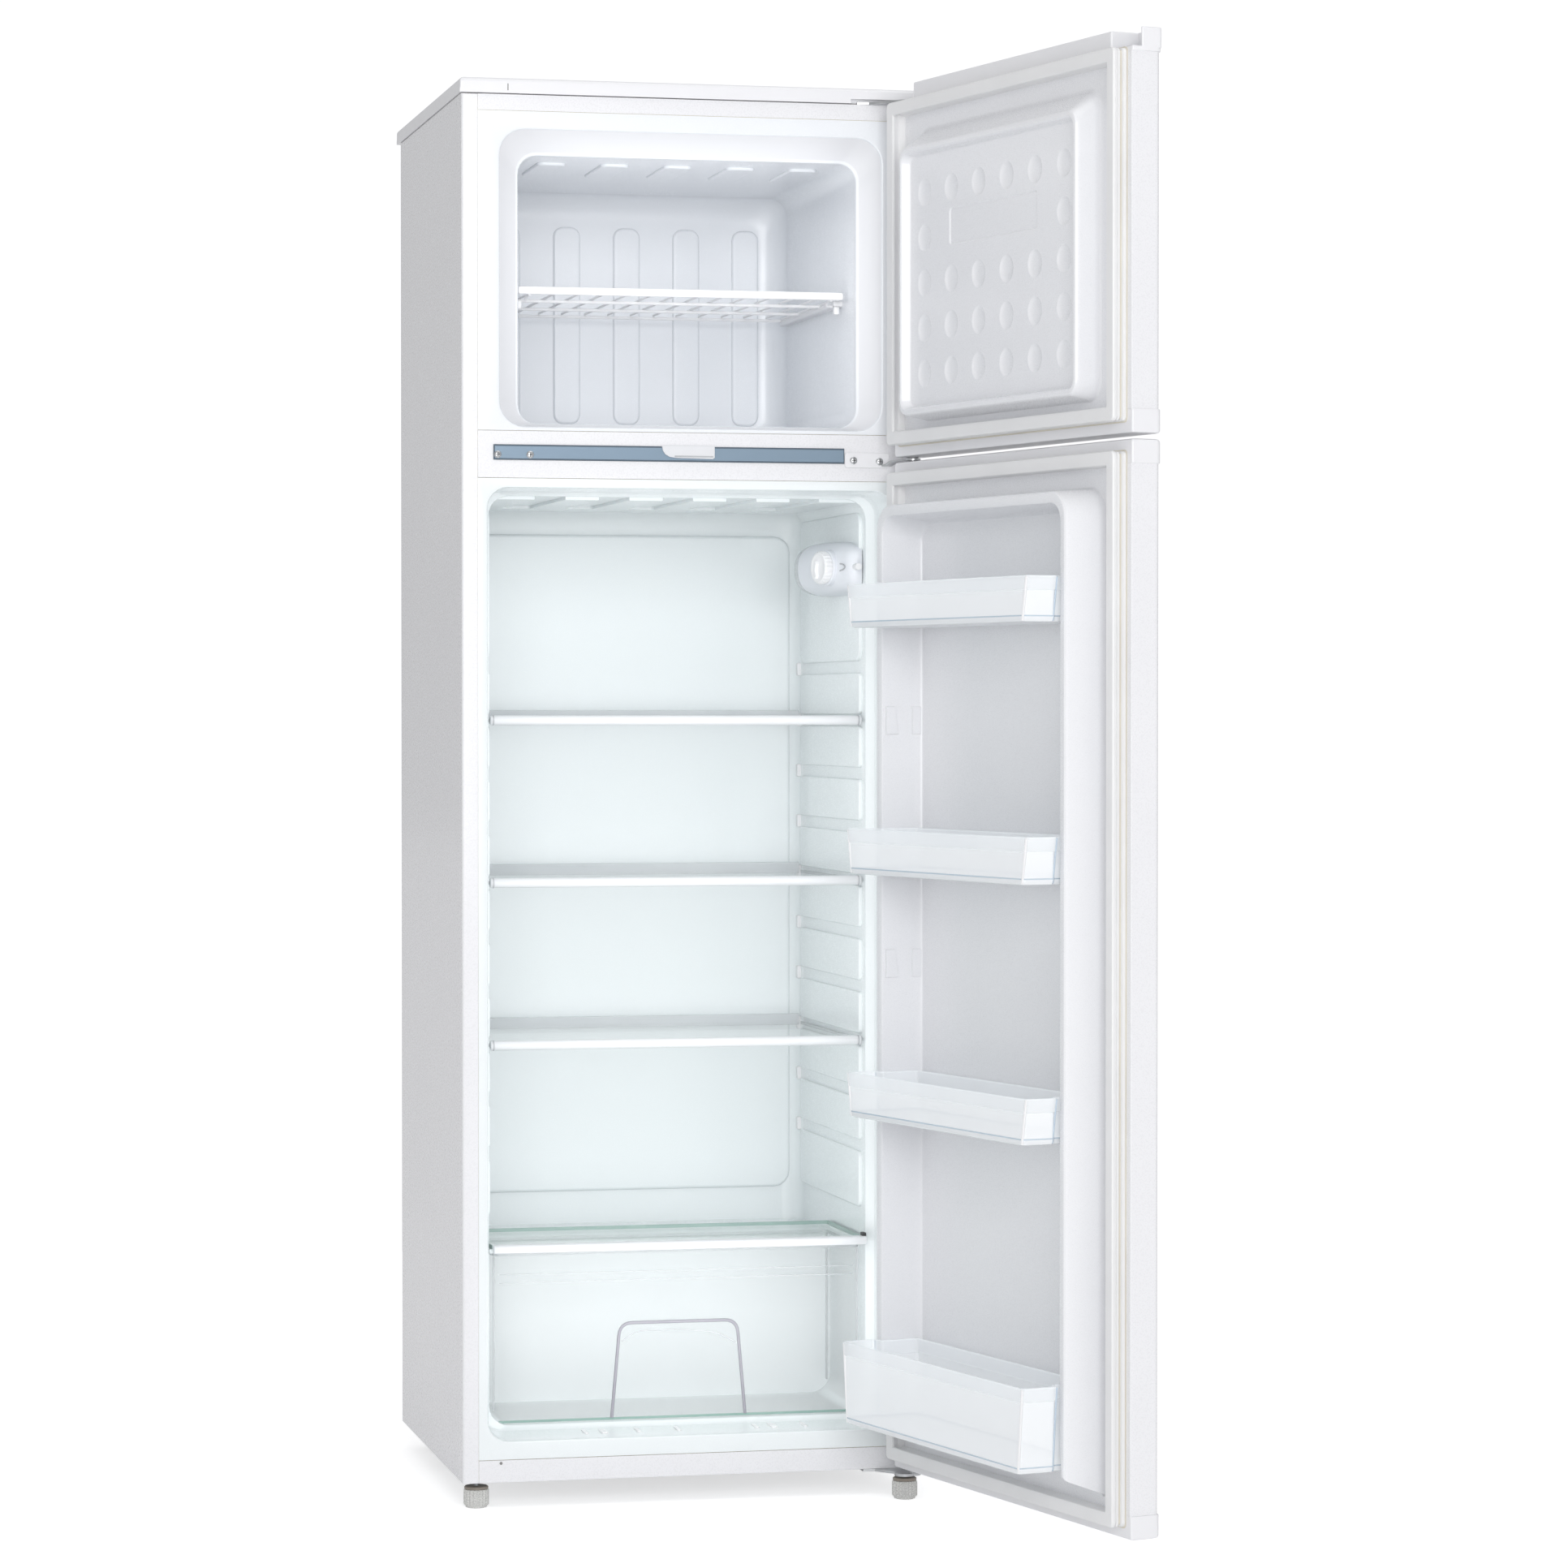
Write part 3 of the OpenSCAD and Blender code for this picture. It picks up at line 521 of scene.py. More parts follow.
# Cream tone of the gasket darkened into painted shade, for the deep bellows groove and the foot line.
def gasket_cream_shade():
    return surface("gasket_cream_shade", (0.72, 0.68, 0.58), (0.64, 0.6, 0.52), (0.45, 0.6), 12, 900, 0.1)


def foam():
    return surface("foam", (0.8, 0.74, 0.55), (0.7, 0.64, 0.45), (0.75, 0.95), 18, 260, 0.9)


def plate_aluminium():
    return surface("plate_aluminium", (0.76, 0.77, 0.78), (0.66, 0.67, 0.68), (0.25, 0.4), 20, 700, 0.1,
                   (0.1, 1, 1), Metallic=1.0)


def shelf_glass():
    return surface("shelf_glass", (0.93, 0.97, 0.955), (0.91, 0.96, 0.945), (0.02, 0.05), 4, 300, 0.004,
                   Alpha=0.16, IOR=1.5)


def green_glass():
    return surface("green_glass", (0.72, 0.88, 0.82), (0.68, 0.85, 0.79), (0.02, 0.05), 4, 300, 0.004,
                   Alpha=0.2, IOR=1.5)


def glass_edge():
    return surface("glass_edge", (0.42, 0.6, 0.54), (0.35, 0.53, 0.48), (0.08, 0.16), 14, 500, 0.03,
                   Alpha=0.85, Transmission_Weight=0.3, IOR=1.5)


def clear_plastic():
    return surface("clear_plastic", (0.95, 0.96, 0.97), (0.93, 0.945, 0.955), (0.03, 0.08), 5, 500, 0.01,
                   Alpha=0.05, IOR=1.49)


def clear_rim():
    return surface("clear_rim", (0.78, 0.8, 0.82), (0.72, 0.745, 0.77), (0.06, 0.14), 6, 500, 0.02,
                   Alpha=0.6, Transmission_Weight=0.15, IOR=1.49)


# Frosted bin plastic and the bin rim glow faintly: painted light standing in for light scattered through
# them.
def frosted_plastic():
    return surface("frosted_plastic", (0.96, 0.972, 0.985), (0.95, 0.965, 0.98), (0.28, 0.42), 5, 1500,
                   0.05, Alpha=0.72, IOR=1.49, Emission_Color=(0.9, 0.96, 1, 1), Emission_Strength=0.1)


def glowing_bin_rim():
    return surface("glowing_bin_rim", (0.95, 0.965, 0.98), (0.93, 0.95, 0.97), (0.1, 0.2), 6, 900, 0.02,
                   Alpha=0.45, IOR=1.49, Emission_Color=(0.9, 0.96, 1, 1), Emission_Strength=0.12)


def bin_edge():
    return surface("bin_edge", (0.7, 0.8, 0.9), (0.63, 0.75, 0.87), (0.12, 0.22), 6, 900, 0.02,
                   Alpha=0.85, Transmission_Weight=0.3, IOR=1.49)


def bin_foot():
    return surface("bin_foot", (0.93, 0.95, 0.97), (0.91, 0.935, 0.96), (0.15, 0.3), 6, 900, 0.02,
                   Alpha=0.9)


# Dark violet painted shade along the clear drawer's handle lip.
def handle_groove_shade():
    return surface("handle_groove_shade", (0.47, 0.46, 0.51), (0.4, 0.39, 0.44), (0.15, 0.28), 12, 800, 0.03,
                   Alpha=0.9, Transmission_Weight=0.2)


def lamp_shroud():
    return surface("lamp_shroud", (0.8, 0.82, 0.86), (0.77, 0.79, 0.835), (0.24, 0.36), 8, 1300, 0.05)


def lamp_dome():
    return surface("lamp_dome", (0.85, 0.88, 0.9), (0.81, 0.845, 0.87), (0.12, 0.26), 8, 900, 0.03,
                   Alpha=0.75, Transmission_Weight=0.5, IOR=1.49)


def lamp_glass():
    return surface("lamp_glass", (0.93, 0.92, 0.88), (0.9, 0.89, 0.84), (0.25, 0.4), 20, 900, 0.03,
                   Alpha=0.85, Transmission_Weight=0.4, IOR=1.5)


def foot_plastic():
    return surface("foot_plastic", (0.78, 0.78, 0.76), (0.72, 0.72, 0.7), (0.2, 0.34), 25, 900, 0.05,
                   Transmission_Weight=0.25, IOR=1.49)


def foot_band():
    return surface("foot_band", (0.3, 0.26, 0.22), (0.2, 0.175, 0.15), (0.35, 0.5), 25, 700, 0.1)


def seen_level(tree, socket, unseen, seen):
    """Gives a socket one value for the camera's rays and another for all other rays."""
    ray = tree.nodes.new("ShaderNodeLightPath")
    level = tree.nodes.new("ShaderNodeMapRange")
    level.inputs["To Min"].default_value = unseen
    level.inputs["To Max"].default_value = seen
    tree.links.new(ray.outputs["Is Camera Ray"], level.inputs["Value"])
    tree.links.new(level.outputs["Result"], socket)


def floor_white():
    """Pale matt floor, brighter to the eye than as a source of light."""
    material = surface("floor_white", (0.95, 0.95, 0.955), (0.94, 0.94, 0.945), (0.7, 0.85), 0.6, 60, 0.02,
                       Emission_Color=(1, 1, 1, 1))
    tree = material.node_tree
    seen_level(tree, tree.nodes["Principled BSDF"].inputs["Emission Strength"], 0.16, 0.55)
    return material


ENAMEL = white_enamel()
WHITE = white_plastic()
TRIM_SHADE = shaded_trim_plastic()
CAP = cap_plastic()
FREEZER = freezer_plastic()
FRIDGE = fridge_plastic()
RECESS_SHADE = shaded_recess_plastic()
DOOR = door_plastic()
GAP = gap_shade()
POCKET_SHADE = painted_pocket_shade()
ZINC = zinc()
SLOT = slot_shade()
BLACK = black_paint()
COPPER = copper()
FOAM = foam()
RUBBER = dark_rubber()
DARK = dark_plastic()
FROSTED_GLOW = frosted_plastic()
RIM_GLOW = glowing_bin_rim()
EDGE = bin_edge()
BIN_FOOT = bin_foot()


# ---- cabinet ----

def cabinet_shell():
    """Folded steel wrap: two sides with a rounded front edge and a return flange, and the top."""
    part = Part()
    r = 3
    t = 1
    for s in (-1, 1):
        outer = [(HALF_W, BODY_D - 1)]
        outer += arc(HALF_W - r, r, r, 0, -90, 5)
        outer += [(FRAME_X + 0.3, 0), (FRAME_X + 0.3, t)]
        outer += arc(HALF_W - r, r, r - t, -90, 0, 5)
        outer += [(HALF_W - t, BODY_D - 1)]
        prism(part, [(s * x, y) for x, y in outer], upright, 0, BODY_H - t)
    block(part, (-HALF_W, 1.5, BODY_H - t), (HALF_W, BODY_D - 1, BODY_H), 0.3)
    block(part, (-FRAME_X, 0.4, BODY_H - FLANGE + 0.4), (FRAME_X, 1.6, BODY_H), 0.3)
    piece("cabinet_wrap", part, "cabinet", ["cabinet_shell"], [ENAMEL])


def freezer_liner():
    """Front frame, sloped recess band in painted shade, tapering cavity with round back edges, pads and
    ledges.
    """
    part = Part()
    deep = 30
    lip = ring(RECESS_X, RECESS_Z, 30, 3)
    mouth = ring(FREEZER_X + 3.5, (FREEZER_Z[0] - 1, FREEZER_Z[1] + 4), 24, RECESS_D - 2.5)
    rim = [
        ring(FRAME_X, FREEZER_FRAME_Z, 0.5, 0.5),
        ring(RECESS_X + 3, (RECESS_Z[0] - 2.5, RECESS_Z[1] + 3), 33, 0.2),
        ring(RECESS_X + 1, (RECESS_Z[0] - 1, RECESS_Z[1] + 1), 31, 1),
        lip,
    ]
    shell(part, rim)
    shell(part, [lip, mouth], 1)
    cavity = [
        mouth,
        ring(FREEZER_X + 1, (FREEZER_Z[0] - 0.4, FREEZER_Z[1] + 1.2), 22.5, RECESS_D - 0.8),
        ring(FREEZER_X, (FREEZER_Z[0], FREEZER_Z[1]), 21.5, RECESS_D + 2),
    ]
    for a in quarter(6):
        d = 2 + deep * (1 - math.cos(a))
        low, high = FREEZER_Z[0] + d * 0.6, FREEZER_Z[1] - d
        cavity.append(ring(FREEZER_X - d, (low, high), 24, FREEZER_D - deep + deep * math.sin(a)))
    shell(part, cavity, 2, cap=True)
    top = FREEZER_Z[1]
    pitch, half = 76, 17
    for i in range(-2, 3):
        x = (i * pitch - half, i * pitch + half)
        boss(part, x, (FREEZER_Z[0] + 24, top - 41), (FREEZER_D + 1, FREEZER_D - 4), facing, 12, 3, 2)
        boss(part, x, (80, 200), (top + 1, top - 3.5), upright, 8, 2.5, 2)
    ledge = 11
    for s in (-1, 1):
        x = side(s, FREEZER_X - ledge, FREEZER_X)
        reach = (s * FREEZER_X, s * (FREEZER_X - ledge))
        boss(part, (90, 385), (WIRE_Z - 9.5, WIRE_Z - 2), reach, sideways, 3.6, 3, 3)
        block(part, (x[0], 88, WIRE_Z - 19), (x[1] - s * 4, 96, WIRE_Z - 9), 2, 3)
    piece("freezer_tub", part, "cabinet", ["freezer_liner"],
          [FREEZER, RECESS_SHADE, FREEZER, WHITE])


def fridge_liner():
    """Front frame, wide front stretch, stepped tub, raised back panel, wall and ceiling pads."""
    part = Part()
    deep = 26
    loops = [
        ring(FRAME_X, FRIDGE_FRAME_Z, 0.5, 0.5),
        ring(OPEN_X + 3, (OPEN_Z[0] - 3, OPEN_Z[1] + 3), 27, 0.2),
        ring(OPEN_X + 0.9, (OPEN_Z[0] - 0.9, OPEN_Z[1] + 0.9), 25, 1.1),
        ring(OPEN_X, OPEN_Z, 24, 4),
        ring(OPEN_X - 1, (OPEN_Z[0] + 1, OPEN_Z[1] - 1), 24, OPEN_D - 12),
        ring(OPEN_X - 4, (OPEN_Z[0] + 2, OPEN_Z[1] - 2), 24, OPEN_D - 4),
        ring(INNER_X + 3, (INNER_Z[0] - 1.2, INNER_Z[1] + 1.2), 24, OPEN_D),
        ring(INNER_X + 0.6, (INNER_Z[0] - 0.3, INNER_Z[1] + 0.3), 24, OPEN_D + 1.2),
        ring(INNER_X, INNER_Z, 24, OPEN_D + 4),
    ]
    for a in quarter(6):
        d = deep * (1 - math.cos(a))
        y = FRIDGE_D - deep + deep * math.sin(a)
        loops.append(ring(INNER_X - d, (INNER_Z[0] + d, INNER_Z[1] - d), 26, y))
    shell(part, loops, 0, cap=True)
    hidden = 8
    low = (-INNER_X - hidden, STEP_Y, INNER_Z[0] - hidden)
    block(part, low, (INNER_X + hidden, FRIDGE_D + hidden, STEP_Z), 4.5, 0, 4)
    boss(part, (-214, 214), (293, 1118), (FRIDGE_D + 1, FRIDGE_D - 6), facing, 20, 4)
    ceiling = INNER_Z[1]
    edge, front, back = INNER_X - 6, OPEN_D + 4, FRIDGE_D - 26
    pitch, half, slot = 77, 18, 325
    comb = [(-edge, back), (-edge, front)]
    for i in range(-2, 3):
        left, right = i * pitch - half, i * pitch + half
        comb += [(left, front), (left, slot - 3), (left + 3, slot)]
        comb += [(right - 3, slot), (right, slot - 3), (right, front)]
    comb += [(edge, front), (edge, back)]
    prism(part, comb, upright, ceiling - 4, ceiling + 1, 1.2)
    for s in (-1, 1):
        wall_pads(part, s)
    lift = (OPEN_Z[0] + 0.5, OPEN_Z[0] + 2.2)
    for x, wide in ((-121, 2.4), (-99, 4), (-58, 2.4), (-10, 2.4), (84, 2.4), (105, 4), (143, 2.4)):
        boss(part, (x - wide, x + wide), (28, 56), lift, upright, 2, 0.6, 1)
    piece("fridge_tub", part, "cabinet", ["fridge_liner"], [FRIDGE, WHITE])


def wall_pads(part, s):
    """Raised pads between the guide channels, their rear stops and the crisper ledge, on one wall."""
    depth = (s * (INNER_X + 1), s * (INNER_X - PAD_H))
    run, gap = (97, 412), 7
    for i in range(GUIDES - 1):
        z = GUIDE_Z + i * GUIDE_PITCH
        boss(part, run, (z + gap, z + GUIDE_PITCH - gap), depth, sideways, 5, 2.2)
    top = GUIDE_Z + (GUIDES - 1) * GUIDE_PITCH
    boss(part, run, (300, GUIDE_Z - gap), depth, sideways, 8, 2.2)
    boss(part, run, (top + gap, INNER_Z[1] - 14), depth, sideways, 16, 2.2)
    for i in range(GUIDES):
        z = GUIDE_Z + i * GUIDE_PITCH
        x = side(s, INNER_X - 7, INNER_X)
        block(part, (x[0], 413.5, z - 8), (x[1], 422, z + 8), 1.5, 1)
    ledge = side(s, INNER_X - 5.8, INNER_X)
    block(part, (ledge[0], OPEN_D + 2, COVER_Z - 8), (ledge[1], STEP_Y, COVER_Z - 2.2), 1.5)


def divider_rail():
    part = Part()
    block(part, (-FRAME_X, 0.2, FRIDGE_FRAME_Z[1] + 0.4), (FRAME_X, 2, FREEZER_FRAME_Z[0] - 0.4), 0.5)
    piece("divider_band", part, "cabinet", ["divider_rail"], [ENAMEL])


def kick_panel():
    """Strip under the lower opening, with its screw hole."""
    part = Part()
    block(part, (-FRAME_X, 0.2, 0), (FRAME_X, 2, FRIDGE_FRAME_Z[0] - 0.5), 0.5)
    lathe(part, [(1.8, -0.1), (1.8, 0.25)], forward((-FRAME_X + 26, 0.2, FRIDGE_FRAME_Z[0] - 4)), 16, 1)
    piece("kick_band", part, "cabinet", ["kick_panel"], [ENAMEL, GAP])


def worktop():
    """Lipped plastic tray with a rounded front edge, notched for the hinge, over a thin dark gap."""
    part = Part()
    gap = BODY_H + 1
    skirt = BODY_H + 6
    front, back = -3, BODY_D + CAP_BACK
    edge = HALF_W + LIP
    notch = (190, HALF_W - 4)
    lower = [(-edge, back), (-edge, front), (notch[0], front), (notch[0], 4), (notch[1], 4),
             (notch[1], front), (edge, front), (edge, back)]
    prism(part, lower, upright, gap, skirt)
    loops = [[(x, y, skirt) for x, y in round_rect(-edge, edge, front, back, 1.5, 5)]]
    for a in quarter(5):
        d = 4.5 * (1 - math.cos(a))
        z = BODY_H + CAP_T - 5 + 4.5 * math.sin(a)
        outline = round_rect(-edge + d, edge - d, front + d, back - d, 2 if d < 1 else 1.5, 5)
        loops.append([(x, y, z) for x, y in outline])
    hull(part, loops)
    inset = 2.5
    boss(part, (-edge + 14, edge - 14), (front + 16, back - 14),
         (BODY_H + CAP_T - 1, BODY_H + CAP_T), upright, 8, 0.8)
    block(part, (-edge + inset, front + inset + 4, BODY_H), (edge - inset, BODY_D - 2, gap + 0.5), 0.2, 1)
    block(part, (-HALF_W + 53.5, front - 0.12, gap + 3), (-HALF_W + 54.8, front + 1, gap + 11), 0.2, 1)
    piece("worktop_tray", part, "cabinet", ["worktop"], [CAP, GAP])


def mullion_strip():
    """Painted strip between the compartments, with a darker copy of its paint round the rim as painted
    shade.
    """
    part = Part()
    block(part, (STRIP_X[0], -1.1, STRIP_Z[0]), (STRIP_X[1], 0, STRIP_Z[1]), 0.4, 1)
    block(part, (STRIP_X[0] + 1.6, -1.5, STRIP_Z[0] + 1.8), (STRIP_X[1] - 1, -0.5, STRIP_Z[1] - 1.8), 0.3)
    piece("mullion_band", part, "cabinet", ["mullion_strip"], [strip_paint(), strip_edge_shade()])


def strip_clip():
    """White hook over the strip's upper edge, its lower corners rounded; drawn in the darker recess plastic
    as painted shade, with a grey painted shade line near its foot.
    """
    part = Part()
    left, right, top = -37, 26, STRIP_Z[1]
    outline = [(left, top + 0.4), (left + 1, top - 5), (left + 4, top - 9.5), (left + 9, top - 12.4),
               (left + 17, top - 13.6), (right - 2, top - 14.4), (right, top - 13), (right, top + 0.4)]
    prism(part, outline, facing, -4, -1.4, 0.8)
    block(part, (left, -3.4, top - 1), (right, 0, top + 1.2), 0.8)
    block(part, (left + 15, -4.3, top - 12.6), (right - 2, -3.8, top - 10.8), 0.2, 1)
    piece("strip_hook", part, "cabinet", ["strip_clip"], [RECESS_SHADE, POCKET_SHADE])


def middle_hinge():
    """Screwed plate and the strap that rises from its lower corner and runs to the pin."""
    part = Part()
    plate = fillet([(182.8, 1183.5), (236.5, 1183.5), (236.5, 1201), (182.8, 1201)], 3)
    prism(part, plate, facing, -3, 0, 0.5)
    level = SPLIT_Z
    path = [(231, -1.4, 1186.4), (235, -5, 1186.8), (240, -12, level - 0.6), (247, -20.5, level),
            (257, -33.5, level)]
    flat = [(-7, -1.2), (7, -1.2), (7.4, -0.8), (7.4, 0.8), (7, 1.2), (-7, 1.2), (-7.4, 0.8), (-7.4, -0.8)]
    sweep(part, fillet(path, 4, 4, closed=False), flat, 1)
    lathe(part, [(8.5, -1.4), (9, -1), (9, 1), (8.5, 1.4)], standing((*HINGE, level)), 28, 1)
    lathe(part, [(6.2, 1.2), (6.2, 2.4), (5.6, 2.8)], standing((*HINGE, level)), 24)
    piece("middle_bracket", part, "cabinet", ["middle_hinge"], [CAP, ZINC])


def frame_screws():
    """Pan head screws with a cross recess."""
    part = Part()
    mullion = [forward((-230.6, -1.4, 1194.3)), forward((-192.5, -1.4, 1194.3))]
    middle = [forward((193, -3, 1192)), forward((224.5, -3, 1191))]
    top = [standing((x, y, BODY_H + 3)) for x, y in ((205, 20), (205, 42), (245, 42))]
    down = [lambda u, v, w, x=x, y=y: (x + u, y + v, -3 - w) for x, y in ((215, 20), (215, 45), (250, 45))]
    for to in mullion + middle + top + down:
        lathe(part, [(4.4, 0), (4.4, 0.7), (3.7, 1.5), (2.4, 2), (0.4, 2.1)], to, 20)
        lathe(part, [(2, -9), (2, 0.2)], to, 12)
        for a, b in ((2.4, 0.45), (0.45, 2.4)):
            prism(part, [(-a, -b), (a, -b), (a, b), (-a, b)], to, 1.6, 2.16, 0, 1)
    piece("cross_screws", part, "cabinet", ["frame_screws"], [ZINC, SLOT])


def levelling_foot(name, at, stud_top):
    """Ribbed translucent knob with a dark band and a threaded stud."""
    part = Part()
    to = standing((at[0], at[1], -FOOT_H))
    knob = [(11, 0), (12.4, 0.6), (12.8, 2.4), (13.9, 3.4, 1), (14.3, 5, 1), (14.3, 19.5, 1), (13.6, 21, 1),
            (12.5, 21.6)]
    lathe(part, knob, to, 120, 0, 20, 0.7)
    lathe(part, [(13.4, 21.6), (14, 22), (14, 24.2), (13, 25)], to, 32, 1)
    thread = [(2.8, 24.8)]
    for i in range(int(5 + stud_top) * 2):
        thread.append((2.4 if i % 2 else 2.9, 25 + i * 0.5))
    lathe(part, thread, to, 16, 2)
    piece(name + "_knob", part, name, [name], [foot_plastic(), foot_band(), ZINC])


def roller(name, s):
    """Black wheel with a grooved tread and a dished hub."""
    part = Part()
    to = lying((s * ROLLER_AT[0], ROLLER_AT[1], ROLLER_AT[2]))
    profile = [(3.1, -7), (6, -7), (7, -5.5), (12, -5.5), (13.5, -7), (15.2, -6.6), (16, -5.5), (16, -1.2),
               (15, -0.6)]
    profile += [(r, -h) for r, h in reversed(profile)]
    turns = [2 * math.pi * i / 40 for i in range(40)]
    hull(part, [[to(r * math.cos(a), r * math.sin(a), h) for a in turns] for r, h in profile], loop=True)
    piece(name + "_wheel", part, name, [name], [RUBBER])


# ---- cooling circuit ----

def compressor_housing():
    """Welded pot with a domed lid and base, seam flange, terminal cover seat and slotted feet."""
    part = Part()
    to = standing(COMPRESSOR_AT)
    pot = [(20, 0.5), (44, 0.2), (55, 4), (60, 12), (61, 24), (61, 66), (62, 67), (62, 71), (61, 72),
           (60.5, 84), (58, 100), (52, 114), (43, 124), (30, 130), (12, 131.6), (2, 131.8)]
    lathe(part, pot, to, 56)
    x, y, z = COMPRESSOR_AT
    for s in (-1, 1):
        foot = fillet([(x + s * 48, y - 60), (x + s * 96, y - 60), (x + s * 100, y - 40), (x + s * 92, y),
                       (x + s * 100, y + 40), (x + s * 96, y + 60), (x + s * 48, y + 60)], 8)
        prism(part, foot, upright, z, z + 3, 0.6)
    lathe(part, [(4, 0), (4, 22), (3.2, 24)], lying((x + 58, y, z + 38), 1), 16, 1)
    piece("compressor_pot", part, "cabinet", ["compressor_housing"], [BLACK, COPPER])


def refrigerant_tubes():
    """Copper lines between compressor, condenser, drier and the foam."""
    part = Part()
    runs = [
        ([(60, 343, 70), (60, 326, 70), (-225, 326, 70), (-225, 506, 70), (-225, 506, 239)], 3),
        ([(-210, 506, 239), (-210, 506, 190), (-120, 506, 190), (-120, 400, 190), (-120, 400, 163)], 3),
        ([(-120, 400, 27), (-120, 400, 14), (-120, 350, 14), (-190, 350, 14), (-190, 350, 213)], 2.5),
        ([(143, 405, 50), (190, 405, 50), (190, 330, 50), (190, 330, 213)], 3.5),
    ]
    for points, r in runs:
        tube(part, points, r, 14, 12)
    piece("copper_lines", part, "cabinet", ["refrigerant_tubes"], [COPPER])


def condenser():
    """Serpentine of smooth bends with close upright wires on both sides and four brackets."""
    part = Part()
    runs, step, half, z0, y = 14, 90, 165, 280, 506
    path = [(-210, y, z0 - 40), (-210, y, z0)]
    for i in range(runs):
        z = z0 + i * step
        ends = (-half, half) if i % 2 == 0 else (half, -half)
        bend = step / 2
        last = ends[1] * (1 + bend / half)
        path.append((ends[0], y, z))
        if i < runs - 1:
            path += [(last, y, z), (last, y, z + step)]
    top = z0 + (runs - 1) * step
    path += [(-225, y, top), (-225, y, z0 - 40)]
    tube(part, path, 3, 44, 12)
    for i in range(31):
        x = -150 + i * 10
        for dy in (-3.4, 3.4):
            tube(part, [(x, y + dy, z0 - 20), (x, y + dy, top + 20)], 0.8, 0, 6)
    for x in (-150, 150):
        for z in (z0 + 20, z0 + 1120):
            block(part, (x - 12, y - 11, z - 6), (x + 12, y + 4.5, z + 6), 1)
    piece("condenser_coil", part, "cabinet", ["condenser"], [BLACK])


# ---- lamp and thermostat ----

def lamp_ring(y, depth, half):
    """Half oval standing off the right wall."""
    points = []
    for i in range(21):
        t = math.radians(-90 + 9 * i)
        up = math.copysign(abs(math.sin(t)) ** 0.8, math.sin(t))
        points.append((INNER_X - PAD_H + 3 - depth * math.cos(t) ** 0.6 if abs(t) < 1.57 else INNER_X - 1,
                       y, LAMP_Z + half * up))
    return points


def at_dial(u, v, w):
    """Point on the slanted face: u up, v along the face, w into the housing."""
    c, s = math.cos(LAMP_TILT), math.sin(LAMP_TILT)
    return (DIAL_X + w * c - v * s, DIAL_Y + w * s + v * c, LAMP_Z + u)


def lamp_housing():
    """Opaque shroud tapering to the front, collar round the dial, and the translucent dome behind."""
    part = Part()
    start, full, end = LAMP_Y[0], LAMP_FULL_Y, LAMP_Y[1]
    shroud = [(0.6, 4, 10), (1, 9, 16), (3, 13.5, 20.5), (7, 17, 23.5), (13, 20, 26), (24, 24, 28.4),
              (48, 31.5, 31), (80, 41, 32.6), (full - start, 49, 33), (full - start + 10, 50.6, 33)]
    hull(part, [lamp_ring(start + y, d, h) for y, d, h in shroud])
    seam = full + 10
    length = end - seam
    dome = []
    for i in range(13):
        a = math.radians(89 * i / 12)
        depth, half = 50 * math.cos(a) + 1, 32.4 * math.cos(a) ** 0.8 + 0.6
        dome.append(lamp_ring(seam + length * math.sin(a), depth, half))
    hull(part, dome, 1)
    collar = [(DIAL_R + 1.6, 9), (DIAL_R + 1.6, -1.2), (DIAL_R + 0.9, -2), (DIAL_R - 1, -2)]
    lathe(part, collar, at_dial, 48)
    # Teardrop groove on the housing, drawn as a grey line of painted shade.
    mark = [(204.2, 112, LAMP_Z + 4.2), (206.4, 104, LAMP_Z + 3), (207.6, 100, LAMP_Z),
            (206.4, 104, LAMP_Z - 3), (204.2, 112, LAMP_Z - 4.2)]
    tube(part, mark, 0.8, 3, 8, 2)
    piece("lamp_cover", part, "cabinet", ["lamp_housing"],
          [lamp_shroud(), lamp_dome(), POCKET_SHADE])


def thermostat_dial():
    """Ribbed knob with a dished face and a curved finger grip."""
    part = Part()
    top = -DIAL_T - 0.5
    profile = [(DIAL_R - 0.8, -2.2), (DIAL_R - 0.6, -4, 1), (DIAL_R - 0.6, top + 2.4, 1),
               (DIAL_R - 1.6, top + 0.6), (DIAL_R - 3, top), (DIAL_R - 4.5, top + 0.2),
               (DIAL_R - 7, top + 1.6), (3, top + 2)]
    lathe(part, profile, at_dial, 144, 0, 24, 0.6)
    lathe(part, [(4, 17), (4, -2.4)], at_dial, 20)
    outer = arc(-3, -12, 21, 55, 125, 10)
    inner = arc(-3, -9, 14.5, 122, 58, 10)
    prism(part, outer + inner, lambda u, v, w: at_dial(u * 0.92, v * 0.92 - 2, w),
          top + 2.4, top - 2.2, 0.8)
    piece("dial_knob", part, "thermostat_dial", ["thermostat_dial"], [WHITE])


# ---- shelves and crisper ----

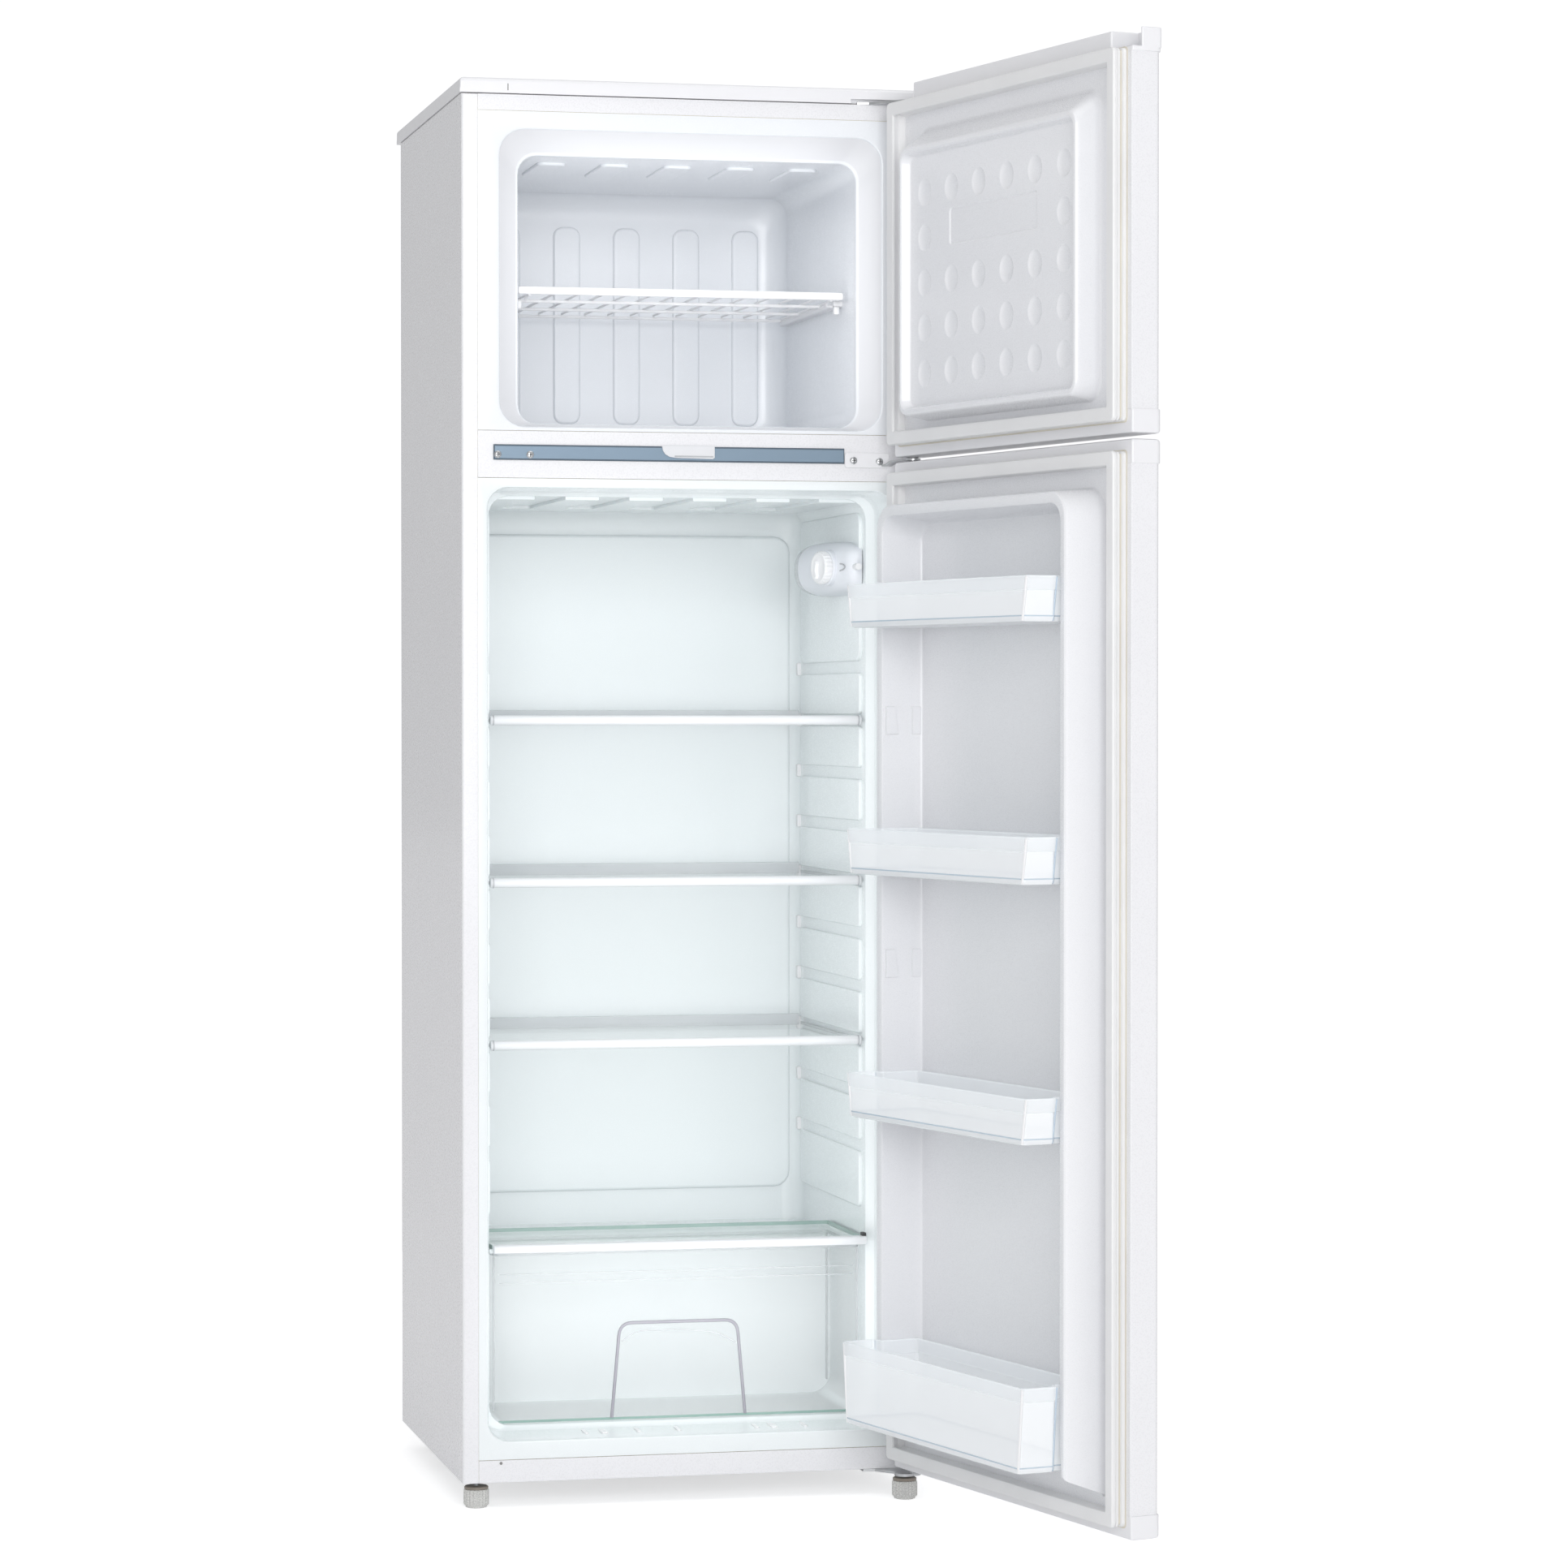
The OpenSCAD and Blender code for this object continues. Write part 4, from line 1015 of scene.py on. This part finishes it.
def freezer_shelf():
    """White wire shelf: flat front bar, upright side rails, fine wires front to back."""
    part = Part()
    z, half, y0, y1 = WIRE_Z, FREEZER_X - 6, 60, 380
    boss(part, (-half, half), (z - 4, z + 5), (y0 + 5, y0), facing, 2.4, 1.6)
    for s in (-1, 1):
        rail = [(s * (half - 2), y0 + 3, z - 1), (s * (half - 2), y1, z - 1)]
        tube(part, rail, 2.2, 0, 10)
        x = s * (half - 14)
        hook = [(x, y0 + 4, z - 4), (x, y0 + 24, z - 5), (x, y0 + 30, z - 9),
                (s * (half - 6), y0 + 34, z - 9)]
        tube(part, hook, 1.6, 6, 8)
    for y in (y0 + 110, y0 + 220, y1):
        tube(part, [(-half + 2, y, z - 2.6), (half - 2, y, z - 2.6)], 2, 0, 10)
    for i in range(-6, 7):
        wire = [(i * 29, y0 + 3, z - 1.5), (i * 29, y0 + 9, z + 1), (i * 29, y1 + 1, z + 1)]
        tube(part, wire, 1.5, 4, 8)
    piece("wire_shelf", part, "freezer_shelf", ["freezer_shelf"], [WHITE])


def glass_shelf(name):
    """Clear plate with a rounded pale front bar in trim plastic darkened as painted shade, end rings of
    painted shadow, side edges and a rear hook.
    """
    part = Part()
    z = SHELF_Z[name]
    y0, y1 = 91, 410
    block(part, (-SHELF_X + 1.6, y0 + 3, z - 2), (SHELF_X - 1.6, y1 - 3, z + 2), 0.4)
    for s in (-1, 1):
        x = side(s, SHELF_X - 1.7, SHELF_X)
        block(part, (x[0], y0 + 3, z - 2), (x[1], y1 - 3, z + 2), 0.3, 1)
        # Dark ring at each end of the bar: painted shadow round the bar's end.
        lathe(part, [(6.1, 0), (6.1, 1.2)], lying((s * (SHELF_X - 4.6), y0, z), s), 28, 3)
        tip = lying((s * (SHELF_X - 3.6), y0, z), s)
        lathe(part, [(5.7, 0), (5.7, 1.8), (5, 3), (3.4, 3.6)], tip, 28, 2)
    bar = SHELF_X - 4.6
    lathe(part, [(5.4, -bar), (5.8, -bar + 2), (5.8, bar - 2), (5.4, bar)], lying((0, y0, z)), 28, 2)
    block(part, (-SHELF_X + 4, y0 + 4, z - 3.4), (SHELF_X - 4, y0 + 10, z + 3), 1.2, 2)
    low, high = z - 2.2, z + 12
    hook = [(406, low), (406, high - 1), (406.8, high), (409, high), (409.8, high - 1), (409.8, low)]
    prism(part, hook, sideways, -SHELF_X + 4, SHELF_X - 4, 0.3, 1)
    piece(name + "_plate", part, name, [name], [shelf_glass(), clear_rim(), TRIM_SHADE, POCKET_SHADE])


def crisper_cover():
    """Green tinted glass with dark edges behind a pale front trim, the trim a darker copy of white plastic
    as painted shade.
    """
    part = Part()
    front, back, z = COVER_Y[0], COVER_Y[1], COVER_Z
    seat = front + 13
    block(part, (-SHELF_X + 2, seat, z - 2), (SHELF_X - 2, back - 2, z + 2), 0.3)
    for s in (-1, 1):
        x = side(s, SHELF_X - 2.2, SHELF_X - 0.2)
        block(part, (x[0], seat, z - 2.1), (x[1], back - 1, z + 2.1), 0.3, 1)
    block(part, (-SHELF_X + 2, back - 3, z - 2.1), (SHELF_X - 2, back, z + 2.1), 0.3, 1)
    trim = fillet([(front, z - 6), (front, z + 2), (front + 3, z + 4), (seat + 1, z + 4),
                   (seat + 1, z - 4), (front + 8, z - 6)], 2)
    prism(part, trim, sideways, -SHELF_X, SHELF_X, 0.8, 2)
    block(part, (SHELF_X - 5, front + 4, z + 3), (SHELF_X, seat + 3, z + 8), 1.2, 3)
    piece("crisper_lid", part, "crisper_cover", ["crisper_cover"],
          [green_glass(), glass_edge(), TRIM_SHADE, DARK])


def crisper_drawer():
    """Clear open box with a rounded foot, ledge lines, a splayed handle outline in violet painted shade and
    a tinted base band.
    """
    part = Part()
    half = SHELF_X - 3
    y0, y1, low, high, t = 90, 256, 55, 256, 2.5

    def plan(d, z, r):
        return [(x, y, z) for x, y in round_rect(-half + d, half - d, y0 + min(d, t), y1 - d, r, 5)]

    outer = [plan(0, high, 7), plan(0, low + 18, 7), plan(1.2, low + 9, 7), plan(4, low + 2.5, 5),
             plan(9, low, 3)]
    shell(part, outer, cap=True)
    lip = [plan(-0.2, high - 3, 7), plan(-0.2, high, 7), plan(t + 0.3, high, 5), plan(t + 0.3, high - 3, 5)]
    hull(part, lip, 1, loop=True)
    for z in (231, 221):
        block(part, (-half + 8, y0 - 0.8, z - 0.6), (half - 8, y0 + 0.4, z + 0.6), 0.3, 1)
    for x in (-half + 1.4, half - 1.4):
        for y in (y0 + 3, y1 - 3):
            tube(part, [(x, y, low + 16), (x, y, high - 4)], 1.3, 0, 8, 1)
    handle = [(-80, 58), (-70, 170), (72, 170), (82, 58)]
    tube(part, [(x, y0 - 1.5, z) for x, z in handle], 2, 15, 10, 2)
    brow = [(-68, 148), (-50, 160), (0, 160.5), (46, 156), (71, 143)]
    tube(part, [(x, y0 - 1, z) for x, z in brow], 0.8, 12, 8, 1)
    foot = half - 10
    base = fillet([(-foot, low + 0.2), (-foot - 4, low + 3), (foot + 4, low + 3), (foot, low + 0.2)], 1.5)
    prism(part, base, facing, y0 - 1.5, y0 + 1, 0.4, 3)
    piece("crisper_box", part, "crisper_drawer", ["crisper_drawer"],
          [clear_plastic(), clear_rim(), handle_groove_shade(), glass_edge()])


# ---- doors ----

def door_skin(name, z):
    """Folded steel front with rounded corners and return flanges at the back."""
    part = Part()
    low, high = between_caps(z)
    r, t = 6, 0.9
    outer = [(-HALF_W + 9, DOOR_BACK), (-HALF_W + 1.2, DOOR_BACK), (-HALF_W, DOOR_BACK - 1.2)]
    outer += arc(-HALF_W + r, DOOR_FRONT + r, r, 180, 270, 6)
    outer += arc(HALF_W - r, DOOR_FRONT + r, r, 270, 360, 6)
    outer += [(HALF_W, DOOR_BACK - 1.2), (HALF_W - 1.2, DOOR_BACK), (HALF_W - 9, DOOR_BACK)]
    inner = [(HALF_W - 9, DOOR_BACK - t), (HALF_W - t, DOOR_BACK - t)]
    inner += arc(HALF_W - r, DOOR_FRONT + r, r - t, 360, 270, 6)
    inner += arc(-HALF_W + r, DOOR_FRONT + r, r - t, 270, 180, 6)
    inner += [(-HALF_W + t, DOOR_BACK - t), (-HALF_W + 9, DOOR_BACK - t)]
    prism(part, outer + inner, upright, low, high)
    body = name.rsplit("_", 1)[0]
    piece(body + "_panel", part, body, [name], [ENAMEL], True)


def between_caps(z, gap=0.0):
    """Lowest and highest level between a door's end caps."""
    return z[0] + END_CAP + gap, z[1] - END_CAP - gap


def cap_outline(d=0.0):
    """Plan of a door end cap, inset by d."""
    x, front, back, r = HALF_W + PROUD - d, DOOR_FRONT - PROUD + d, DOOR_BACK - d, 7
    return (arc(-x + 2, back - 2, 2, 90, 180, 3) + arc(-x + r, front + r, r, 180, 270, 6)
            + arc(x - r, front + r, r, 270, 360, 6) + arc(x - 2, back - 2, 2, 0, 90, 3))


def cap_body(part, low, high, soft_low, soft_high):
    """End cap between two heights, its far edges rounded."""
    levels = [(soft_low, low), (soft_low * 0.3, low + soft_low * 0.3), (0, low + soft_low)]
    levels += [(0, high - soft_high), (soft_high * 0.3, high - soft_high * 0.3), (soft_high, high)]
    hull(part, [[(x, y, z) for x, y in cap_outline(d)] for d, z in levels])


def door_cap(name, low, high, soft_low, soft_high):
    part = Part()
    cap_body(part, low, high, soft_low, soft_high)
    body = name.rsplit("_", 2)[0]
    piece(body + ("_head" if "top" in name else "_sill"), part, body, [name], [CAP], True)


def freezer_top_cap():
    """Top end cap with pockets open at the rear, the one at the hinge also open to the side."""
    part = Part()
    z1 = FREEZER_DOOR_Z[1]
    floor = BODY_H - 2
    inner = 227.5
    edge = HALF_W + PROUD
    front, back = DOOR_FRONT - PROUD, DOOR_BACK
    cap_body(part, z1 - END_CAP, floor, 0.3, 0.3)
    block(part, (-inner - 1, front + 0.7, floor - 1), (inner, back, z1 - 0.1), 2.2, 0, 3)
    wall = fillet([(-edge, back - 12), (-edge, front), (edge, front), (edge, front + 3.4),
                   (-edge + 3.4, front + 3.4), (-edge + 3.4, back - 12)], 5, 5)
    prism(part, wall, upright, floor - 1, z1, 1)
    # Grey floors in the pockets: painted shade.
    block(part, (-edge + 3, front + 3, floor - 0.5), (-inner, back - 0.6, floor + 0.5), 0.2, 1)
    block(part, (inner, front + 3, floor - 0.5), (edge - 2, back - 0.6, floor + 0.5), 0.2, 1)
    piece("freezer_door_head", part, "freezer_door", ["freezer_door_top_cap"],
          [CAP, POCKET_SHADE], True)


def freezer_door_liner():
    """Flat edge, wide sloped ramp, rim, and a sunk field with round dimples and an outlined recess."""
    part = Part()
    low, high = between_caps(FREEZER_DOOR_Z, 0.3)
    levels = [
        (271.2, low, high, 0.6, 0.1), (214, 1231.5, 1574, 26, 0.1), (211, 1233, 1571, 24, 0.8),
        (209, 1234, 1568, 23, 3), (206.6, 1237.6, 1551, 18, 25), (205.8, 1238.6, 1548.6, 17, 28.6),
        (204.6, 1239.8, 1547, 15.5, 30.4), (203, 1241.4, 1545.4, 14, PANEL_P),
        (200.6, 1244.6, 1541.6, 12.5, PANEL_P), (199.4, 1246, 1540.2, 11.5, 30),
        (198.4, 1247, 1539.2, 10.5, 28), (196, 1248.6, 1537.8, 9.5, FIELD_P + 1.6),
        (194.6, 1249.6, 1536.8, 8.5, FIELD_P + 0.3), (193, 1251, 1535.4, 8, FIELD_P),
    ]
    loops = [turned(ring(h, (a, b), r, DOOR_BACK + p)) for h, a, b, r, p in levels]
    shell(part, loops)
    field = DOOR_BACK + FIELD_P
    holes = []
    for col in range(6):
        for row in range(5):
            x, z = (col - 2.5) * 64.6, 1286 + row * 52
            if row == 3 and abs(x) < 110:
                continue
            holes.append(dimple(part, x, z, field))
    holes.append(sunk_label(part, (-102, 102), (1428, 1471), field))
    sheet(part, [(u, v) for u, _, v in loops[-1]], holes, facing, field)
    vent = (-HALF_W + 32, 1583)
    lathe(part, [(2.2, 0.05), (2.2, 0.3)], lambda u, v, w: (vent[0] + u, DOOR_BACK + w, vent[1] + v), 16, 2)
    piece("freezer_door_tray", part, "freezer_door", ["freezer_door_liner"],
          [DOOR, RECESS_SHADE, GAP], True)


def dimple(part, x, z, field):
    """Shallow round hollow with a rolled edge; returns its rim."""
    profile = [(16, 0), (15.2, 0.25), (14.2, 0.8), (12.6, 1.5), (10, 2.1), (6.5, 2.5), (3, 2.7)]
    rims = [[(x + u, z + v) for u, v in arc(0, 0, r, 360, 10, 35)] for r, depth in profile]
    depths = [depth for _, depth in profile]
    shell(part, [[(u, field - depth, v) for u, v in rim] for rim, depth in zip(rims, depths)], cap=True)
    return rims[0]


def sunk_label(part, u, v, field):
    """Shallow oblong hollow for a label, left blank; returns its rim."""
    rims, loops = [], []
    for d, depth, r in ((0, 0, 5), (0.5, 0.15, 4.5), (1, 0.6, 4), (1.5, 1.2, 3.5), (2.2, 1.5, 3)):
        rim = turned(round_rect(u[0] + d, u[1] - d, v[0] + d, v[1] - d, r, 4))
        rims.append(rim)
        loops.append([(p, field - depth, q) for p, q in rim])
    shell(part, loops, cap=True)
    return rims[0]


def arch(half, low, top, r, flare, height):
    """Upside down U on the door's inside: up one side, over the top, down the other."""
    right = [(half + flare, low), (half + flare * 0.25, low + 28), (half, low + 50)]
    crown = arc(half - r, top - r, r, 0, 90, 8)
    path = right + crown
    path += [(-x, z) for x, z in reversed(path)]
    return [(x, DOOR_BACK + height, z) for x, z in path]


def fridge_door_liner():
    """Flat edge sheet and a raised frame: two dykes that flare at the foot and the bar over them."""
    part = Part()
    low, high = between_caps(FRIDGE_DOOR_Z, 0.3)
    flat = DOOR_BACK + 0.1
    edges = [ring(271.2, (low, high), 0.6, flat), ring(180, (low + 60, high - 60), 4, flat)]
    shell(part, [turned(edge) for edge in edges], cap=True)
    out_x, in_x = DYKE_X[1], DYKE_X[0]
    foot, crown = DYKE_Z
    bar = crown - 13
    levels = [
        (out_x + 5, foot - 22, crown + 6, 40, 0, -0.4), (out_x + 2.6, foot - 20, crown + 4.4, 38, 0, 0.6),
        (out_x + 1.4, foot - 18, crown + 3, 36, 0, 3.5),
        (out_x + 0.5, foot - 6, crown + 1, 33, 0, DYKE_P - 16),
        (out_x, foot - 2, crown + 0.4, 32, 0, DYKE_P - 5),
        (out_x - 1.2, foot, crown - 0.6, 30, 0, DYKE_P - 1.4),
        (out_x - 3.4, foot + 2, crown - 2.6, 28, 0, DYKE_P), (in_x + 5.6, foot + 3, bar + 3, 24, 4, DYKE_P),
        (in_x + 3, foot + 2, bar + 0.6, 22, 6, DYKE_P - 1.4),
        (in_x + 1.8, foot, bar - 0.6, 20, 8, DYKE_P - 5), (in_x + 0.6, foot - 12, bar - 4, 20, 10, 12),
        (in_x - 0.4, foot - 17, bar - 6, 20, 12, 4), (in_x - 2, foot - 20, bar - 8, 20, 12, 0.8),
        (in_x - 4, foot - 22, bar - 11, 20, 12, -0.4),
    ]
    lines = [arch(*level) for level in levels]
    across = [[line[i] for line in lines] for i in range(len(lines[0]))]
    hull(part, across)
    for z in (870, 588):
        bin_boss(part, z)
    piece("fridge_door_frame", part, "fridge_door", ["fridge_door_liner"],
          [DOOR, RECESS_SHADE], True)


def bin_boss(part, z):
    """Bin support on both dykes: a tapered block near the edge and a square one near the sheet."""
    for s in (-1, 1):
        x = side(s, DYKE_X[0] - 1.6, DYKE_X[0] + 2)
        taper = [(31, z), (47, z), (47, z + 32), (36, z + 32)]
        square = [(1, z), (13, z), (13, z + 32), (1, z + 32)]
        for outline in (taper, square):
            prism(part, [(DOOR_BACK + p, v) for p, v in outline], sideways, x[0], x[1], 0.6)


def gasket(body, low, high):
    """Ring of hollow section: foot, folded bellows and magnet bar."""
    part = Part()
    half = HALF_W - 10

    def ribbon(profile, corner, kind):
        loops = []
        for d, p in profile:
            loops.append(ring(half - d, (low + d, high - d), corner(d), DOOR_BACK + p, 4))
        hull(part, loops, kind, loop=True)

    profile = [(0, 0.1), (0.3, 4), (1.4, 5), (4.4, 5.6), (4.4, 7.4), (1.4, 8), (0.5, 8.8), (0.5, 11),
               (1.8, 11.6), (1.8, 12.2), (0.3, 12.8), (0, 15.4), (1, 17), (2.6, 17.4), (13.4, 17.4),
               (15, 16.6), (15.6, 14.8), (15, 12.8), (13, 11.8), (12.6, 8), (15.2, 4.6), (16, 0.1)]
    ribbon(profile, lambda d: max(5 - d * 0.25, 0.8), 0)
    # Cream rings in the deepest bellows groove and along the foot: the gasket's cream tone with painted
    # shade.
    ribbon([(2.6, 5.2), (2.6, 7.8), (4.8, 7.8), (4.8, 5.2)], lambda d: 3, 1)
    ribbon([(-1.4, 0.05), (-1.4, 0.9), (0.6, 0.9), (0.6, 0.05)], lambda d: 5, 1)
    piece(body + "_seal", part, body, [body + "_gasket"],
          [gasket_rubber(), gasket_cream_shade()], True)


def foam_slab(part, z):
    """Foam between the skin and the liner sheet of the door from z[0] to z[1]."""
    low, high = between_caps(z, 0.5)
    block(part, (-HALF_W + 3, DOOR_FRONT + 3, low), (HALF_W - 3, DOOR_BACK - 1.5, high), 2)


def freezer_door_foam():
    part = Part()
    foam_slab(part, FREEZER_DOOR_Z)
    boss(part, (-199, 199), (1242, 1539), (DOOR_BACK - 2, DOOR_BACK + FIELD_P - 4), facing, 18, 3)
    piece("freezer_door_core", part, "freezer_door", ["freezer_door_foam"], [FOAM], True)


def fridge_door_foam():
    part = Part()
    foam_slab(part, FRIDGE_DOOR_Z)
    back, front = DOOR_BACK - 2, DOOR_BACK + DYKE_P - 4
    for s in (-1, 1):
        x = side(s, DYKE_X[0] + 4, DYKE_X[1] - 4)
        block(part, (x[0], back, DYKE_Z[0] + 20), (x[1], front, DYKE_Z[1] - 40), 2)
    piece("fridge_door_core", part, "fridge_door", ["fridge_door_foam"], [FOAM], True)


def door_bin(name, low, high, reach, wide):
    """Frosted bin, narrow between the dykes and wide in front of them, with a clear stepped rim; the bin
    and its rim glow faintly as painted light.
    """
    part = Part()
    narrow = DYKE_X[0] - 5
    step = high - 15.5
    taper = 9

    def plan(z, d, lean):
        ends = wide - d - lean
        rear = narrow - d
        neck = DYKE_P + 2 + d
        corners = [(-rear, 7 + d), (-rear, neck), (-ends, neck + 2), (-ends + 1, reach - d),
                   (ends - 1, reach - d), (ends, neck + 2), (rear, neck), (rear, 7 + d)]
        return [(x, DOOR_BACK + p, z) for x, p in fillet(corners, 5, 3)]

    def lean(z):
        return (1 - (z - low) / (high - low)) * taper

    foot = [plan(low, 3, lean(low)), plan(low + 0.8, 1.2, lean(low)), plan(low + 3, 0.4, lean(low + 3)),
            plan(low + 6, 0.2, lean(low + 6))]
    hull(part, foot, 4)
    line = [plan(low + 6, 0.1, lean(low + 6)), plan(low + 7.4, 0.1, lean(low + 7)),
            plan(low + 7.4, 1, lean(low + 7)), plan(low + 6, 1, lean(low + 6))]
    hull(part, line, 2, loop=True)
    shell(part, [plan(low + 6, 0.4, lean(low + 6)), plan(step, 1.2, lean(step))], 0)
    rim = [plan(step - 0.6, 1.4, lean(step)), plan(step + 0.6, 0, lean(step)), plan(high - 1, 0, 0),
           plan(high, 0.7, 0), plan(high, 1.9, 0), plan(high - 1, 2.4, 0),
           plan(step - 0.6, 3.2, lean(step))]
    hull(part, rim, 1, loop=True)
    lip = [plan(high - 1.4, -0.15, 0), plan(high + 0.1, 0.4, 0), plan(high + 0.1, 2.2, 0),
           plan(high - 1.4, 2.6, 0)]
    hull(part, lip, 1, loop=True)
    for s in (-1, 1):
        for p, d, r, kind in ((reach - 1.6, 3, 1.6, 3), (DYKE_P + 5, 1, 1, 2)):
            top = (s * (wide - d), DOOR_BACK + p, high - 1)
            bottom = (s * (wide - d - taper), DOOR_BACK + p, low + 1.5)
            tube(part, [bottom, top], r, 0, 8, kind)
    piece(name + "_tray", part, name, [name],
          [FROSTED_GLOW, RIM_GLOW, EDGE, WHITE, BIN_FOOT], True)


# ---- CAD nodes that keep their shape ----

def finish_node(name, material, soft=0.4):
    """Gives a CAD node its material and slightly rounded edges."""
    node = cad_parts[name]
    node.data.materials.clear()
    node.data.materials.append(material)
    weld = node.modifiers.new("weld", "WELD")
    weld.merge_threshold = 0.00001
    if soft > 0:
        bevel = node.modifiers.new("soft_edges", "BEVEL")
        bevel.width = soft * 0.001
        bevel.segments = 2
        bevel.limit_method = "ANGLE"
        bevel.angle_limit = math.radians(40)
    even = node.modifiers.new("even_shading", "WEIGHTED_NORMAL")
    even.keep_sharp = True


cabinet_shell()
freezer_liner()
fridge_liner()
divider_rail()
kick_panel()
worktop()
mullion_strip()
strip_clip()
middle_hinge()
frame_screws()
levelling_foot("foot_left", FOOT_AT, 12)
levelling_foot("foot_right", (HINGE[0] - 10, HINGE[1] - 1), -3)
roller("roller_left", -1)
roller("roller_right", 1)
compressor_housing()
refrigerant_tubes()
condenser()
lamp_housing()
thermostat_dial()
freezer_shelf()
for shelf in SHELF_Z:
    glass_shelf(shelf)
crisper_cover()
crisper_drawer()
door_skin("freezer_door_skin", FREEZER_DOOR_Z)
door_skin("fridge_door_skin", FRIDGE_DOOR_Z)
freezer_top_cap()
door_cap("freezer_door_bottom_cap", FREEZER_DOOR_Z[0], FREEZER_DOOR_Z[0] + END_CAP, 3, 0.5)
door_cap("fridge_door_top_cap", FRIDGE_DOOR_Z[1] - END_CAP, FRIDGE_DOOR_Z[1], 0.5, 3)
door_cap("fridge_door_bottom_cap", FRIDGE_DOOR_Z[0], FRIDGE_DOOR_Z[0] + END_CAP, 3, 0.5)
freezer_door_liner()
fridge_door_liner()
gasket("freezer_door", FREEZER_DOOR_Z[0] + GASKET_IN, FREEZER_DOOR_Z[1] - GASKET_TOP)
gasket("fridge_door", FRIDGE_DOOR_Z[0] + GASKET_IN, FRIDGE_DOOR_Z[1] - GASKET_IN)
freezer_door_foam()
fridge_door_foam()
for door_bin_name in BINS:
    door_bin(door_bin_name, *BINS[door_bin_name])

KEPT = (
    ("back_panel", back_steel(), 0.2), ("base_pan", plate_steel(), 0.2), ("insulation", FOAM, 0),
    ("top_hinge", ZINC, 0.5), ("bottom_hinge", ZINC, 0.5), ("hinge_pins", ZINC, 0.4),
    ("compressor_plate", plate_steel(), 0.3), ("compressor_motor", COPPER, 1),
    ("compressor_grommets", RUBBER, 1), ("relay_box", DARK, 2), ("power_inlet", DARK, 0.8),
    ("drip_tray", WHITE, 1), ("filter_drier", COPPER, 1.5), ("evaporator_plates", plate_aluminium(), 0),
    ("lamp_holder", WHITE, 1), ("lamp_bulb", lamp_glass(), 0), ("lamp_switch", WHITE, 1),
    ("freezer_door_bushes", DARK, 0.3), ("fridge_door_bushes", DARK, 0.3),
)
for node, material, soft in KEPT:
    finish_node(node, material, soft)


# ---- floor, light and camera ----

def floor():
    mesh = bpy.data.meshes.new("floor")
    work = bmesh.new()
    bmesh.ops.create_circle(work, cap_ends=True, segments=96, radius=30)
    work.to_mesh(mesh)
    work.free()
    mesh.materials.append(floor_white())
    put("floor", mesh)


def soft_light(name, at, aim, size, power):
    light = bpy.data.lights.new(name, "AREA")
    light.shape = "RECTANGLE"
    light.size, light.size_y = size
    light.energy = power
    made = put(name, light)
    made.location = at
    made.rotation_euler = (Vector(aim) - Vector(at)).to_track_quat("-Z", "Y").to_euler()


def studio():
    """White surround, dimmer as a light than as a backdrop, a wide key and fills for the insides."""
    world = bpy.data.worlds.new("studio")
    bpy.context.scene.world = world
    world.use_nodes = True
    sky = world.node_tree.nodes["Background"]
    sky.inputs["Color"].default_value = (0.985, 0.99, 1, 1)
    seen_level(world.node_tree, sky.inputs["Strength"], 0.54, 1.05)
    middle = (0.3, 0.2, 0.9)
    soft_light("front_key", (-0.45, -5.2, 1.7), middle, (2.6, 2.4), 103)
    soft_light("top_fill", (0.6, -0.8, 3.6), middle, (2, 2), 12)
    x, y = -FOOT_AT[0] * 0.001, -0.04
    soft_light("fridge_fill", (x, y, 0.66), (x, 1, 0.66), (0.42, 1.02), 0.75)
    soft_light("crisper_fill", (x, y, 0.19), (x, 1, 0.19), (0.4, 0.16), 0.12)
    soft_light("freezer_fill", (x, y, 1.43), (x, 1, 1.43), (0.36, 0.28), 0.2)
    bpy.context.scene.view_settings.view_transform = "Standard"


def camera():
    eye = bpy.data.cameras.new("camera")
    eye.lens = 106.68
    eye.sensor_width = 36
    eye.clip_end = 100
    made = put("camera", eye)
    made.location = (-0.8475, -5.3441, 0.927)
    made.rotation_euler = (math.radians(89.1), 0, math.radians(-12.81))
    bpy.context.scene.camera = made


floor()
studio()
camera()
